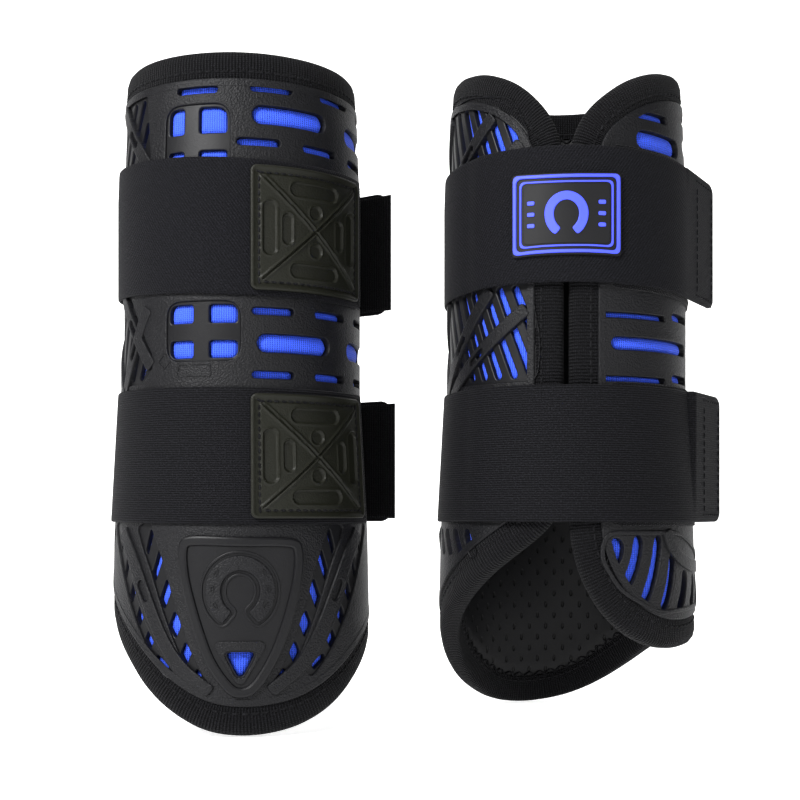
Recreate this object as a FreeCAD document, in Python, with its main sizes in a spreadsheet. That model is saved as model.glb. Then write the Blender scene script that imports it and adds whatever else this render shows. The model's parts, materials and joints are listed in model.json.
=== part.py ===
"""A pair of front tendon boots for a horse, one for each foreleg.

Each boot is a wall of layers wrapped round the leg: lining, tendon strike
plate, spacer mesh and outer shell, with a woven binding round its edge and
two straps that close over the front opening.  A layer is the ring between
two offsets of the leg profile, kept only inside an outline.  Outlines are
drawn on the unrolled wall, in degrees round the leg and millimetres up it.
The right boot is modelled once and the left boot is its mirror image.
"""
import FreeCAD, Part, Sketcher
import math
import os

from FreeCAD import Base, Placement, Rotation, Vector

SIZES = [
    # leg profile: heights above the foot of the flap, and lining radii there
    ("height_knee", 255.0), ("radius_knee", 37.2),
    ("height_wall_top", 205.0), ("radius_leg", 39.0),
    ("height_wall_low", 130.0),
    ("height_calf", 75.0), ("radius_calf", 42.0),
    ("radius_foot", 43.6),
    # layer thicknesses
    ("lining_thick", 4.0), ("mesh_thick", 1.6), ("shell_thick", 3.0),
    ("plate_thick", 1.0), ("tape_thick", 1.2), ("tape_width", 11.0),
    ("elastic_thick", 1.6), ("elastic_lift", 1.2), ("elastic_width", 50.8),
    ("loop_thick", 0.8), ("patch_thick", 2.0), ("badge_thick", 2.0),
    ("hook_thick", 1.2),
    # straps
    ("upper_height", 190.5), ("upper_rise", 2.5),
    ("lower_height", 104.0), ("lower_rise", 0.5),
    ("tab_length", 36.0), ("hook_start", 12.0), ("hook_length", 27.0),
    ("loop_width", 54.0), ("patch_width", 50.0), ("patch_height", 46.5),
    ("badge_width", 39.0), ("badge_height", 31.5),
    # the pair: leg spacing, turn of each boot, height of the origin
    ("leg_spacing", 131.0), ("right_turn", 6.0), ("left_turn", 19.5),
    ("origin_height", 167.5),
    # unrolled wall
    ("flat_radius", 48.0),
]
OPENING = 154.0
EDGE_GAP = 1.2
HINGE_ANGLE = OPENING - 45.0
TAB_ANGLE = OPENING + 68.0
R_INSIDE = 20.0
R_OUTSIDE = 80.0
SHELL_RADIUS = 47.6

doc = FreeCAD.newDocument("tendon_boots")
sheet = doc.addObject("Spreadsheet::Sheet", "Sizes")
for row, (alias, value) in enumerate(SIZES, start=1):
    sheet.set("A%d" % row, alias.replace("_", " "))
    sheet.set("B%d" % row, str(value))
    sheet.setAlias("B%d" % row, alias)
doc.recompute()
SIZE = {alias: float(sheet.get(alias)) for alias, _ in SIZES}


# --- rings: the leg profile between two offsets ------------------------------

PROFILE = [
    ("0 mm", "radius_foot"),
    ("height_calf", "radius_calf"),
    ("height_wall_low", "radius_leg"),
    ("height_wall_top", "radius_leg"),
    ("height_knee", "radius_knee"),
]


def plane_of(body, role):
    """Return one of the body's own origin planes."""
    for feature in body.Origin.OriginFeatures:
        if feature.Role == role:
            return feature
    raise RuntimeError("no plane " + role)


def ring_body(name, inner, outer):
    """Revolve the leg profile between two offsets, each an expression."""
    body = doc.addObject("PartDesign::Body", name)
    sketch = body.newObject("Sketcher::SketchObject", name + "_profile")
    sketch.AttachmentSupport = [(plane_of(body, "XZ_Plane"), "")]
    sketch.MapMode = "FlatFace"
    corners = []
    for height, radius in PROFILE:
        corners.append((height, radius, inner))
    for height, radius in reversed(PROFILE):
        corners.append((height, radius, outer))
    points = []
    for height, radius, offset in corners:
        up = 0.0 if height == "0 mm" else SIZE[height]
        points.append(Vector(SIZE[radius] + expression_value(offset), up, 0))
    count = len(points)
    for i in range(count):
        line = Part.LineSegment(points[i], points[(i + 1) % count])
        sketch.addGeometry(line, False)
    for i in range(count):
        joined = constraint("Coincident", i, 2, (i + 1) % count, 1)
        sketch.addConstraint(joined)
    for i, (height, radius, offset) in enumerate(corners):
        across = sketch.addConstraint(
            constraint("DistanceX", -1, 1, i, 1, points[i].x))
        reach = "Sizes.%s + %s" % (radius, offset)
        sketch.setExpression("Constraints[%d]" % across, reach)
        upward = sketch.addConstraint(
            constraint("DistanceY", -1, 1, i, 1, points[i].y))
        if height != "0 mm":
            sketch.setExpression("Constraints[%d]" % upward, "Sizes." + height)
    turn = body.newObject("PartDesign::Revolution", name + "_turn")
    turn.Profile = sketch
    turn.ReferenceAxis = (sketch, ["V_Axis"])
    turn.Angle = 360.0
    body.Tip = turn
    return body


def constraint(*args):
    """Return a sketch constraint."""
    return Sketcher.Constraint(*args)


def expression_value(text):
    """Work out a sum of sheet aliases such as 'Sizes.a + Sizes.b'."""
    total = 0.0
    sign = 1.0
    for word in text.split():
        if word == "+":
            sign = 1.0
        elif word == "-":
            sign = -1.0
        elif word.startswith("Sizes."):
            total += sign * SIZE[word[6:]]
        else:
            total += sign * float(word)
    return total


# --- outlines on the unrolled wall -------------------------------------------

def turn_side(run, steps=10):
    """Split a run of (degrees, height) points into pieces under 90 degrees."""
    if len(run) == 2:
        (a, low), (b, high) = run
        parts = max(1, int(math.ceil(abs(b - a) / 85.0)))
        return [[(a + (b - a) * k / parts, low + (high - low) * k / parts),
                 (a + (b - a) * (k + 1) / parts,
                  low + (high - low) * (k + 1) / parts)]
                for k in range(parts)]
    pieces = []
    start = 0
    while start < len(run) - 1:
        stop = start + 1
        while (stop < len(run) - 1 and stop - start < steps
               and abs(run[stop + 1][0] - run[start][0]) <= 85.0):
            stop += 1
        pieces.append(run[start:stop + 1])
        start = stop
    return pieces


def edge_on(points, cylinder):
    """Return the edge that a run of (degrees, height) makes on a cylinder."""
    flat = [Base.Vector2d(math.radians(-90.0 - a), up) for a, up in points]
    if len(flat) == 2:
        return Part.Geom2d.Line2dSegment(flat[0], flat[1]).toShape(cylinder)
    curve = Part.Geom2d.BSplineCurve2d()
    curve.interpolate(flat)
    return curve.toShape(cylinder)


def radial_prism(runs):
    """Make the solid that an outline sweeps straight out from the leg."""
    inside = Part.Cylinder()
    inside.Radius = R_INSIDE
    outside = Part.Cylinder()
    outside.Radius = R_OUTSIDE
    pieces = [piece for run in runs for piece in turn_side(run)]
    inner_edges = [edge_on(piece, inside) for piece in pieces]
    outer_edges = [edge_on(piece, outside) for piece in pieces]
    sides = [Part.makeRuledSurface(a, b)
             for a, b in zip(inner_edges, outer_edges)]
    caps = [Part.Face(inside, Part.Wire(inner_edges)),
            Part.Face(outside, Part.Wire(outer_edges))]
    shell = Part.Shell(caps + sides)
    shell.sewShape()
    solid = Part.Solid(shell)
    if solid.Volume < 0:
        solid.reverse()
    if not solid.isValid():
        solid.fix(1e-4, 1e-4, 1e-4)
    return solid


def polar(angle, radius):
    """Return the point at degrees round the leg and a radius."""
    turn = math.radians(-90.0 - angle)
    return Vector(radius * math.cos(turn), radius * math.sin(turn), 0)


def flat(angle):
    """Turn degrees round the leg into millimetres along the unrolled wall."""
    return math.radians(angle) * SIZE["flat_radius"]


def angle_of(length):
    """Turn millimetres along the unrolled wall into degrees."""
    return math.degrees(length / SIZE["flat_radius"])


def smooth(points):
    """Return a dense smooth run through (degrees, height) points."""
    curve = Part.BSplineCurve()
    curve.interpolate([Vector(flat(a), up, 0) for a, up in points])
    return curve


def outline_wire(inset):
    """Return the boot's outline on the unrolled wall, moved inwards."""
    bottom = smooth(BOTTOM_EDGE)
    top = smooth(TOP_EDGE)
    right = Part.LineSegment(Vector(flat(BOTTOM_EDGE[-1][0]), BOTTOM_EDGE[-1][1], 0),
                             Vector(flat(TOP_EDGE[0][0]), TOP_EDGE[0][1], 0))
    left = Part.LineSegment(Vector(flat(TOP_EDGE[-1][0]), TOP_EDGE[-1][1], 0),
                            Vector(flat(BOTTOM_EDGE[0][0]), BOTTOM_EDGE[0][1], 0))
    wire = Part.Wire([c.toShape() for c in (bottom, right, top, left)])
    if inset:
        wire = wire.makeOffset2D(-inset, 0)
    return wire


def outline_runs(inset=0.0):
    """Return the outline as runs of (degrees, height) points."""
    wire = outline_wire(inset)
    runs = []
    for edge in wire.OrderedEdges:
        length = edge.Length
        if length < 0.3:
            continue
        count = max(2, int(length / 7.0))
        straight = isinstance(edge.Curve, (Part.Line, Part.LineSegment))
        points = edge.discretize(2 if straight else count + 1)
        if edge.Orientation == "Reversed":
            points.reverse()
        run = [(angle_of(p.x), p.y) for p in points]
        runs.append(run)
    first = runs[0][0]
    for i, run in enumerate(runs):
        following = runs[(i + 1) % len(runs)][0]
        if math.dist(run[-1], following) > 0.5:
            run.reverse()
    for i, run in enumerate(runs):
        run[-1] = runs[(i + 1) % len(runs)][0]
    return runs


def strap_height(angle, height, rise):
    """Return the height of a strap's middle line at an angle."""
    return height + rise * math.cos(math.radians(angle - OPENING + 10.0))


def band_runs(start, stop, strap, width, step=8.0):
    """Return the outline of a band that follows a strap's middle line."""
    height = SIZE[strap + "_height"]
    rise = SIZE[strap + "_rise"]
    count = max(2, int(math.ceil(abs(stop - start) / step)))
    angles = [start + (stop - start) * k / count for k in range(count + 1)]
    low = [(a, strap_height(a, height, rise) - width / 2) for a in angles]
    high = [(a, strap_height(a, height, rise) + width / 2) for a in angles]
    high.reverse()
    return [low, [low[-1], high[0]], high, [high[-1], low[0]]]


def rounded_runs(angle, height, wide, tall, corner):
    """Return a rectangle with rounded corners."""
    runs = []
    corners = [(wide / 2 - corner, tall / 2 - corner, 0.0),
               (corner - wide / 2, tall / 2 - corner, 90.0),
               (corner - wide / 2, corner - tall / 2, 180.0),
               (wide / 2 - corner, corner - tall / 2, 270.0)]
    arcs = []
    for x, y, start in corners:
        arc = []
        for k in range(4):
            turn = math.radians(start + 30.0 * k)
            arc.append((angle + angle_of(x + corner * math.cos(turn)),
                        height + y + corner * math.sin(turn)))
        arcs.append(arc)
    for i, arc in enumerate(arcs):
        runs.append(arc)
        runs.append([arc[-1], arcs[(i + 1) % 4][0]])
    return runs


# --- the boot's outline: degrees from the flap's middle, height -------------

BOTTOM_EDGE = [
    (-204.8, 80.0), (-203.6, 70.0), (-199.7, 59.0), (-193.5, 49.5),
    (-186.0, 42.0), (-177.0, 36.5), (-166.0, 32.5), (-154.0, 30.8),
    (-138.0, 31.0), (-120.0, 32.6), (-104.0, 33.0), (-90.0, 30.8),
    (-75.0, 25.5), (-59.0, 17.0), (-45.0, 9.6), (-30.0, 3.8), (-15.0, 0.8),
    (0.0, 0.0), (15.0, 1.8), (30.0, 7.5), (45.0, 16.0), (60.0, 26.5),
    (75.0, 36.0), (90.0, 44.5), (104.0, 52.5), (118.0, 60.5),
    (132.0, 68.0), (142.0, 74.0), (149.5, 81.0), (152.8, 92.0),
]
TOP_EDGE = [
    (152.8, 214.0), (151.0, 222.5), (146.5, 230.5), (140.0, 237.0),
    (131.0, 243.3), (120.0, 248.2), (105.0, 252.2), (85.0, 254.4),
    (60.0, 254.9), (35.0, 254.9), (10.0, 254.9), (-15.0, 254.9),
    (-40.0, 254.9), (-65.0, 254.9), (-90.0, 254.9), (-115.0, 254.6),
    (-137.0, 253.2), (-157.0, 250.2), (-172.0, 246.0), (-183.0, 241.0),
    (-192.0, 235.6), (-198.5, 229.8), (-203.0, 222.0), (-204.8, 214.0),
]


# --- vents of the outer shell ---------------------------------------------------

def plug(angle, height, corners, arcs_at_ends):
    """Push a plane outline straight out through the wall at an angle."""
    outward = polar(angle, 1.0)
    sideways = Vector(outward.y, -outward.x, 0)
    foot = outward * R_INSIDE + Vector(0, 0, height)

    def place(point):
        across, up = point
        bent = SHELL_RADIUS * math.sin(across / SHELL_RADIUS)
        return foot + sideways * bent + Vector(0, 0, up)

    edges = []
    count = len(corners)
    for i in range(count):
        start = place(corners[i])
        stop = place(corners[(i + 1) % count])
        if i in arcs_at_ends:
            edges.append(Part.Arc(start, place(arcs_at_ends[i]), stop))
        else:
            edges.append(Part.LineSegment(start, stop))
    wire = Part.Wire([edge.toShape() for edge in edges])
    return Part.Face(wire).extrude(outward * (R_OUTSIDE - R_INSIDE))


def slot_plug(angle, height, long, wide, tilt=0.0):
    """Make the plug of a slot with round ends, tilted from level."""
    half = long / 2 - wide / 2
    c = math.cos(math.radians(tilt))
    s = math.sin(math.radians(tilt))
    local = [(half, -wide / 2), (half, wide / 2),
             (-half, wide / 2), (-half, -wide / 2),
             (long / 2, 0), (-long / 2, 0)]
    turned = [(c * x - s * y, s * x + c * y) for x, y in local]
    return plug(angle, height, turned[:4], {0: turned[4], 2: turned[5]})


def block_plug(angle, height, wide, tall, corner):
    """Make the plug of a rectangle with rounded corners."""
    w, t, k = wide / 2, tall / 2, corner
    d = k * (1 - math.sqrt(0.5))
    corners = [(w, k - t), (w, t - k), (w - k, t), (k - w, t),
               (-w, t - k), (-w, k - t), (k - w, -t), (w - k, -t)]
    arcs = {1: (w - d, t - d), 3: (d - w, t - d),
            5: (d - w, d - t), 7: (w - d, d - t)}
    return plug(angle, height, corners, arcs)


def spoke_plug(foot, head, wide):
    """Make the plug of a slot between two (degrees, height) points."""
    along = flat(head[0] - foot[0])
    up = head[1] - foot[1]
    return slot_plug((foot[0] + head[0]) / 2, (foot[1] + head[1]) / 2,
                     math.hypot(along, up), wide,
                     math.degrees(math.atan2(up, along)))


# slots that run level: (degrees, height, length, width)
LEVEL_SLOTS = [
    (20.6, 239.8, 17.0, 2.8), (-14.6, 240.6, 17.0, 2.8),
    (-50.6, 240.6, 17.0, 2.8), (-86.0, 239.6, 17.0, 2.8),
    (-121.0, 237.0, 17.0, 2.8), (-161.0, 232.0, 17.0, 2.8),
    (-24.4, 230.6, 32.0, 7.0), (-78.0, 229.6, 32.0, 7.0),
    (-117.0, 227.4, 22.0, 7.0), (-156.0, 222.6, 27.0, 7.0),
    (-8.3, 220.3, 17.0, 2.8), (-40.0, 219.8, 17.0, 2.8),
    (-71.5, 219.4, 17.0, 2.8), (-103.0, 218.6, 17.0, 2.8),
    (-134.0, 216.6, 17.0, 2.8),
    (-15.0, 157.5, 16.6, 2.8), (-46.0, 157.5, 16.6, 2.8),
    (-77.0, 157.5, 16.6, 2.8), (-108.0, 157.5, 16.6, 2.8),
    (-138.0, 157.5, 16.6, 2.8), (-172.4, 156.0, 31.0, 2.6),
    (-26.2, 145.6, 31.6, 7.0), (-78.0, 145.6, 31.6, 7.0),
    (-113.0, 145.6, 16.0, 7.0), (-158.0, 145.6, 46.0, 7.0),
    (-15.0, 133.8, 16.6, 2.8), (-46.0, 133.8, 16.6, 2.8),
    (-77.0, 133.8, 16.6, 2.8), (-108.0, 133.8, 16.6, 2.8),
    (-138.0, 133.8, 16.6, 2.8), (-172.4, 132.3, 31.0, 2.6),
]
# middles of the round windows that a cross divides in four
CROSS_WINDOWS = [(21.0, 220.5), (18.0, 149.9)]
# slanted vents on both sides of the flap: (degrees, height, length)
FLAP_INNER = [(43.0, 71.5, 10.0), (38.3, 63.0, 11.0), (33.6, 52.2, 11.0),
              (28.6, 41.0, 10.5), (23.3, 30.6, 8.5), (18.0, 22.2, 6.0)]
FLAP_OUTER = [(60.0, 62.0, 7.0), (54.4, 52.4, 7.5), (49.0, 44.0, 7.5),
              (43.0, 35.2, 7.0), (36.0, 27.4, 6.0)]
# lattice on the inner side of the leg: lowest, highest, angles
LATTICE = [(218.0, 236.0, range(50, 132, 10)),
           (135.0, 163.0, range(50, 140, 9)),
           (66.0, 76.0, range(80, 112, 9))]
# slanted vents of the outer lower lobe, from foot to head
LOBE_SPOKES = [((-187.0, 67.5), (-185.0, 72.8)), ((-180.5, 59.5), (-174.5, 73.5)),
               ((-171.0, 53.5), (-163.5, 73.5)), ((-160.5, 48.5), (-153.0, 65.0)),
               ((-147.5, 47.5), (-142.0, 62.0)), ((-133.0, 49.0), (-127.5, 62.0)),
               ((-118.0, 50.0), (-113.0, 62.0))]


def vent_plugs():
    """List the plugs of every vent through the shell."""
    plugs = [slot_plug(*slot) for slot in LEVEL_SLOTS]
    for angle, height in CROSS_WINDOWS:
        for side in (-1, 1):
            for up in (-1, 1):
                plugs.append(block_plug(angle + side * 9.4, height + up * 6.7,
                                        9.4, 6.4, 2.2))
    for side in (-1, 1):
        for angle, height, long in FLAP_INNER:
            plugs.append(slot_plug(side * angle, height, long, 3.4,
                                   90.0 - side * 18.0))
        for angle, height, long in FLAP_OUTER:
            plugs.append(slot_plug(side * angle, height, long, 2.6,
                                   90.0 - side * 14.0))
    plugs.append(block_plug(0.0, 27.4, 8.0, 6.4, 2.6))
    for low, high, angles in LATTICE:
        for angle in angles:
            plugs.append(spoke_plug((angle + 5.0, low), (angle - 1.0, high),
                                    3.4))
    for foot, head in LOBE_SPOKES:
        plugs.append(spoke_plug(foot, head, 3.6))
    return plugs


# --- sub-parts --------------------------------------------------------------------

def keep_inside(name, ring, runs):
    """Return the stretch of a ring that lies inside an outline."""
    cutter = doc.addObject("Part::Feature", name + "_outline")
    cutter.Shape = radial_prism(runs)
    layer = doc.addObject("Part::Common", name)
    layer.Base = ring
    layer.Tool = cutter
    return layer


def boolean(kind, name, base, tool):
    """Join or cut two objects."""
    result = doc.addObject(kind, name)
    result.Base = base
    result.Tool = tool
    return result


def total(*aliases):
    """Write a sum of sheet cells as an expression."""
    return " + ".join("Sizes." + alias for alias in aliases)


WALL = ("lining_thick", "mesh_thick", "shell_thick")
TAPE = SIZE["tape_width"]
FOLD = SIZE["tape_thick"]


def make_wall():
    """Build the layers of the wall and the binding round their edge."""
    made = {}
    edge = outline_runs()
    fold = outline_runs(FOLD)
    border = outline_runs(TAPE)

    lining_ring = ring_body("lining_ring", "0", total("lining_thick"))
    lining_sheet = keep_inside("lining_sheet", lining_ring, fold)
    inside_ring = ring_body("inside_ring", "0 - 2", total("tape_thick"))
    edge_cut = keep_inside("lining_edge_all", inside_ring, edge)
    middle = keep_inside("lining_middle", inside_ring, border)
    edge_band = boolean("Part::Cut", "lining_edge_band", edge_cut, middle)
    lining_thinned = boolean("Part::Cut", "lining_thinned", lining_sheet,
                             edge_band)
    plate_ring = ring_body("plate_ring",
                           total("lining_thick") + " - Sizes.plate_thick",
                           total("lining_thick"))
    plate = keep_inside("tendon_strike_plate", plate_ring,
                        rounded_runs(0.0, 142.0, 58.0, 150.0, 14.0))
    made["inner_lining"] = boolean("Part::Cut", "inner_lining",
                                   lining_thinned, plate)
    made["tendon_strike_plate"] = plate

    mesh_ring = ring_body("mesh_ring", total("lining_thick"),
                          total("lining_thick", "mesh_thick"))
    made["spacer_mesh"] = keep_inside("spacer_mesh", mesh_ring, fold)

    shell_ring = ring_body("shell_ring", total("lining_thick", "mesh_thick"),
                           total(*WALL))
    shell_blank = keep_inside("shell_blank", shell_ring, border)
    vents = doc.addObject("Part::Feature", "shell_vents")
    vents.Shape = Part.makeCompound(vent_plugs())
    made["outer_shell"] = boolean("Part::Cut", "outer_shell", shell_blank,
                                  vents)

    tape_ring = ring_body("tape_ring", "0.05",
                          total("lining_thick", "mesh_thick", "tape_thick"))
    tape_all = keep_inside("tape_all", tape_ring, edge)
    core_ring = ring_body("tape_core_ring", total("tape_thick"),
                          total("lining_thick", "mesh_thick"))
    core = keep_inside("tape_core", core_ring, fold)
    hollow = boolean("Part::Cut", "tape_hollow", tape_all, core)
    window = doc.addObject("Part::Feature", "tape_window")
    window.Shape = radial_prism(border)
    made["edge_binding"] = boolean("Part::Cut", "edge_binding", hollow, window)
    return made


def flat_piece(name, strap, start, long, wide, thick, outward):
    """Make a flat piece that leaves the strap's end along its tangent."""
    body = doc.addObject("Part::Box", name)
    body.setExpression("Length", long)
    body.setExpression("Width", thick)
    body.setExpression("Height", wide)
    reach = wall_reach(strap) + SIZE["elastic_lift"] + outward
    foot = polar(TAB_ANGLE, reach)
    heading = math.degrees(math.atan2(foot.y, foot.x)) - 90.0
    way = Vector(math.cos(math.radians(heading)),
                 math.sin(math.radians(heading)), 0)
    low = strap_height(TAB_ANGLE, SIZE[strap + "_height"],
                       SIZE[strap + "_rise"]) - expression_value(wide) / 2
    body.Placement = Placement(foot + way * start + Vector(0, 0, low),
                               Rotation(Vector(0, 0, 1), heading))
    return body


def leg_radius(height):
    """Return the lining's radius at a height."""
    rows = [(0.0, SIZE["radius_foot"])]
    rows += [(SIZE[h], SIZE[r]) for h, r in PROFILE[1:]]
    for (low, a), (high, b) in zip(rows, rows[1:]):
        if height <= high:
            return a + (b - a) * (height - low) / (high - low)
    return rows[-1][1]


def wall_reach(strap):
    """Return the widest radius of the shell under a strap's end."""
    middle = strap_height(TAB_ANGLE, SIZE[strap + "_height"],
                          SIZE[strap + "_rise"])
    low = middle - SIZE["elastic_width"] / 2
    return leg_radius(low) + sum(SIZE[name] for name in WALL)


def make_straps():
    """Build both straps, their panels, patches and tabs, and the badge."""
    made = {}
    shell = total(*WALL)
    back_ring = ring_body("back_ring", shell, shell + " + Sizes.elastic_thick")
    front_ring = ring_body("front_ring", shell + " + Sizes.elastic_lift",
                           shell + " + Sizes.elastic_lift + Sizes.elastic_thick")
    loop_ring = ring_body("loop_ring", shell, shell + " + Sizes.loop_thick")
    patch_ring = ring_body(
        "patch_ring", shell + " + Sizes.elastic_thick",
        shell + " + Sizes.elastic_thick + Sizes.patch_thick")
    badge_ring = ring_body(
        "badge_ring", shell + " + Sizes.elastic_lift + Sizes.elastic_thick",
        shell + " + Sizes.elastic_lift + Sizes.elastic_thick"
        " + Sizes.badge_thick")
    wide = SIZE["elastic_width"]
    for strap in ("upper", "lower"):
        made[strap + "_strap_back"] = keep_inside(
            strap + "_strap_back", back_ring,
            band_runs(-72.0, HINGE_ANGLE - 0.5, strap, wide))
        made[strap + "_strap_front"] = keep_inside(
            strap + "_strap_front", front_ring,
            band_runs(HINGE_ANGLE, TAB_ANGLE - 0.6, strap, wide))
        made[strap + "_loop_panel"] = keep_inside(
            strap + "_loop_panel", loop_ring,
            band_runs(OPENING + 20.0 - 360.0, -101.0, strap,
                      SIZE["loop_width"]))
        middle = strap_height(-41.0, SIZE[strap + "_height"],
                              SIZE[strap + "_rise"])
        made[strap + "_anchor_patch"] = keep_inside(
            strap + "_anchor_patch", patch_ring,
            rounded_runs(-34.0, middle, SIZE["patch_width"],
                         SIZE["patch_height"], 2.5))
        made[strap + "_strap_tab"] = flat_piece(
            strap + "_strap_tab", strap, 0.0, total("tab_length"),
            total("elastic_width"), total("elastic_thick"), 0.0)
        made[strap + "_hook_pad"] = flat_piece(
            strap + "_hook_pad", strap, SIZE["hook_start"],
            total("hook_length"), total("elastic_width") + " - 2.4",
            total("hook_thick"), -SIZE["hook_thick"])
    made["badge"] = keep_inside(
        "badge", badge_ring,
        rounded_runs(OPENING, strap_height(OPENING, SIZE["upper_height"],
                                           SIZE["upper_rise"]) - 0.5,
                     SIZE["badge_width"], SIZE["badge_height"], 2.0))
    return made


def place_pair(pieces):
    """Place the right boot's pieces and mirror each for the left boot."""
    nodes = []
    drop = Vector(0, 0, -SIZE["origin_height"])
    right = Placement(drop, Rotation(Vector(0, 0, 1), SIZE["right_turn"]))
    left = Placement(drop + Vector(SIZE["leg_spacing"], 0, 0),
                     Rotation(Vector(0, 0, 1), SIZE["left_turn"]))
    for name, piece in pieces.items():
        mirrored = doc.addObject("Part::Mirroring", "left_boot_" + name)
        mirrored.Source = piece
        mirrored.Normal = Vector(0, 1, 0)
        mirrored.Placement = left
        mirrored.Label = "left_boot_" + name
        kept = doc.addObject("Part::Compound", "right_boot_" + name)
        kept.Links = [piece]
        kept.Placement = right
        kept.Label = "right_boot_" + name
        nodes += [kept, mirrored]
    return nodes


pieces = make_wall()
pieces.update(make_straps())
nodes = place_pair(pieces)
doc.recompute()

for item in doc.Objects:
    if "Invalid" in item.State or "Error" in item.State:
        raise RuntimeError("%s: %s" % (item.Label, item.State))

os.makedirs("parts", exist_ok=True)
for node in nodes:
    shape = node.Shape
    if shape.isNull() or not shape.isValid() or len(shape.Solids) != 1:
        raise RuntimeError("%s: bad shape, %d solids"
                           % (node.Label, len(shape.Solids)))
    shape.Solids[0].exportStep("parts/%s.step" % node.Label)
    box = shape.BoundBox
    print("%-32s %9.0f mm3  x %.1f..%.1f  y %.1f..%.1f  z %.1f..%.1f" % (
        node.Label, shape.Volume, box.XMin, box.XMax, box.YMin, box.YMax,
        box.ZMin, box.ZMax))
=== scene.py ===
"""A pair of horse tendon boots with moulded shells, blue mesh and elastic straps.

Every piece is drawn on the boot's unrolled wall, in degrees round the leg and
millimetres up it, and then wrapped round the leg.  The left boot mirrors the
right one.
"""

import json
import logging
import math
from dataclasses import dataclass, field
from enum import Enum
from typing import Callable, List, Optional, Sequence, Tuple, Union

import bpy
import numpy as np
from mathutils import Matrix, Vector
from mathutils.geometry import delaunay_2d_cdt


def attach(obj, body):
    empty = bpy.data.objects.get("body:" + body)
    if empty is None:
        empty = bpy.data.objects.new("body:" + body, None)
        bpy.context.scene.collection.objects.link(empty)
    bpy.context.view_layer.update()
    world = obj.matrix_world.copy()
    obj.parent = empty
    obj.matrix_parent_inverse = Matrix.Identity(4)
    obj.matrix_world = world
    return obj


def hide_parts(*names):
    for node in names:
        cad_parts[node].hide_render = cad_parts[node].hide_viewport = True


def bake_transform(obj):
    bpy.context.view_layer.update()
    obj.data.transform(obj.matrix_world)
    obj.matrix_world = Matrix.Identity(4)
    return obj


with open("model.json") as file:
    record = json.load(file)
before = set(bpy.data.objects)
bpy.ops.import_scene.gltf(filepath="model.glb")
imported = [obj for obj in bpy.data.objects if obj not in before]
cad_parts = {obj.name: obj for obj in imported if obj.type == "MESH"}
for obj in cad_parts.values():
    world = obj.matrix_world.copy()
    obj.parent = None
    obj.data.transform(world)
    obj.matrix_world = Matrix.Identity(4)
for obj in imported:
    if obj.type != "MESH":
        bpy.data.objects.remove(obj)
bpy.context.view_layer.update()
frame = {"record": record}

LOG = logging.getLogger("boots")

# angles round the leg run from the middle of the flap, in degrees
OPENING = 154.0
HINGE_ANGLE = OPENING - 45.0
TAB_ANGLE = OPENING + 68.0
PATCH_ANGLE = -34.0
STRAP_END, STRAP_SPLIT = -71.5, 170.0
BOOT_TURN = {"right": 6.0, "left": 19.5}

# sizes in millimetres; levels are distances off the lining's inner face
FLAT_RADIUS = 48.0
ORIGIN_HEIGHT = 167.5
SPACING = frame["record"]["mounts"][1]["pos_m"][0] * 1000.0
EDGE_GAP = 1.3
LINING_TOP = 3.95
MESH_LOW, MESH_TOP = 4.05, 4.85
SHELL_LOW, SHELL_TOP = 5.6, 8.6
RIM_DEPTH, RIM_WIDE = 11.4, 2.6
PANEL_LOW, PANEL_TOP = 8.55, 9.35
BAND_LOW, BAND_THICK, BAND_STEP = 8.65, 1.55, 1.2
SELVEDGE_SHARP = 60.0
STRAP_WIDE = 50.8
TAB_LOW = BAND_LOW + BAND_STEP
PATCH_HALF = (24.9, 23.1)

PROFILE_HEIGHTS = (0.0, 75.0, 130.0, 205.0, 255.0)
PROFILE_RADII = (43.6, 42.0, 39.0, 39.0, 37.2)

Loop = np.ndarray
Level = Union[float, np.ndarray]


class Hand(Enum):
    """Which foreleg a boot belongs to."""

    RIGHT = "right"
    LEFT = "left"


class Layer(Enum):
    """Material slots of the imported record."""

    SHELL = "moulded_shell"
    MESH = "spacer_mesh"
    LINING = "neoprene"
    BINDING = "woven_binding"
    ELASTIC = "elastic_webbing"
    LOOP = "loop_fabric"
    HOOK = "hook_tape"
    PATCH = "patch_rubber"
    BADGE = "badge_rubber"


# --- flat geometry ------------------------------------------------------------------

def flat(angle: float) -> float:
    """Turn degrees round the leg into millimetres on the unrolled wall.

    Args:
        angle: degrees from the middle of the flap.

    Returns:
        The distance along the unrolled wall.
    """
    return math.radians(angle) * FLAT_RADIUS


def chart(points: Sequence[Tuple[float, float]]) -> Loop:
    """Turn (degrees, height) pairs into a flat array.

    Args:
        points: pairs of degrees and millimetres.

    Returns:
        An array of flat positions in millimetres.
    """
    return np.array([(flat(a), z) for a, z in points], dtype=float)


def angle_at(across: float) -> float:
    """Turn millimetres on the unrolled wall into degrees round the leg.

    Args:
        across: distance along the unrolled wall.

    Returns:
        The degrees from the middle of the flap.
    """
    return math.degrees(across / FLAT_RADIUS)


def leg_radius(height: np.ndarray) -> np.ndarray:
    """Give the lining's radius at each height.

    Args:
        height: millimetres above the foot of the flap.

    Returns:
        The radius in millimetres.
    """
    return np.interp(height, PROFILE_HEIGHTS, PROFILE_RADII)


def wrap(points: Loop, lift: Level) -> np.ndarray:
    """Wrap flat points round the leg.

    Args:
        points: flat positions.
        lift: distance off the lining's inner face, for all or for each point.

    Returns:
        Points in the boot's own upright frame, in millimetres.
    """
    turn = -math.pi / 2 - points[:, 0] / FLAT_RADIUS
    radius = leg_radius(points[:, 1]) + lift
    return np.column_stack((radius * np.cos(turn), radius * np.sin(turn),
                            points[:, 1]))


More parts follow.
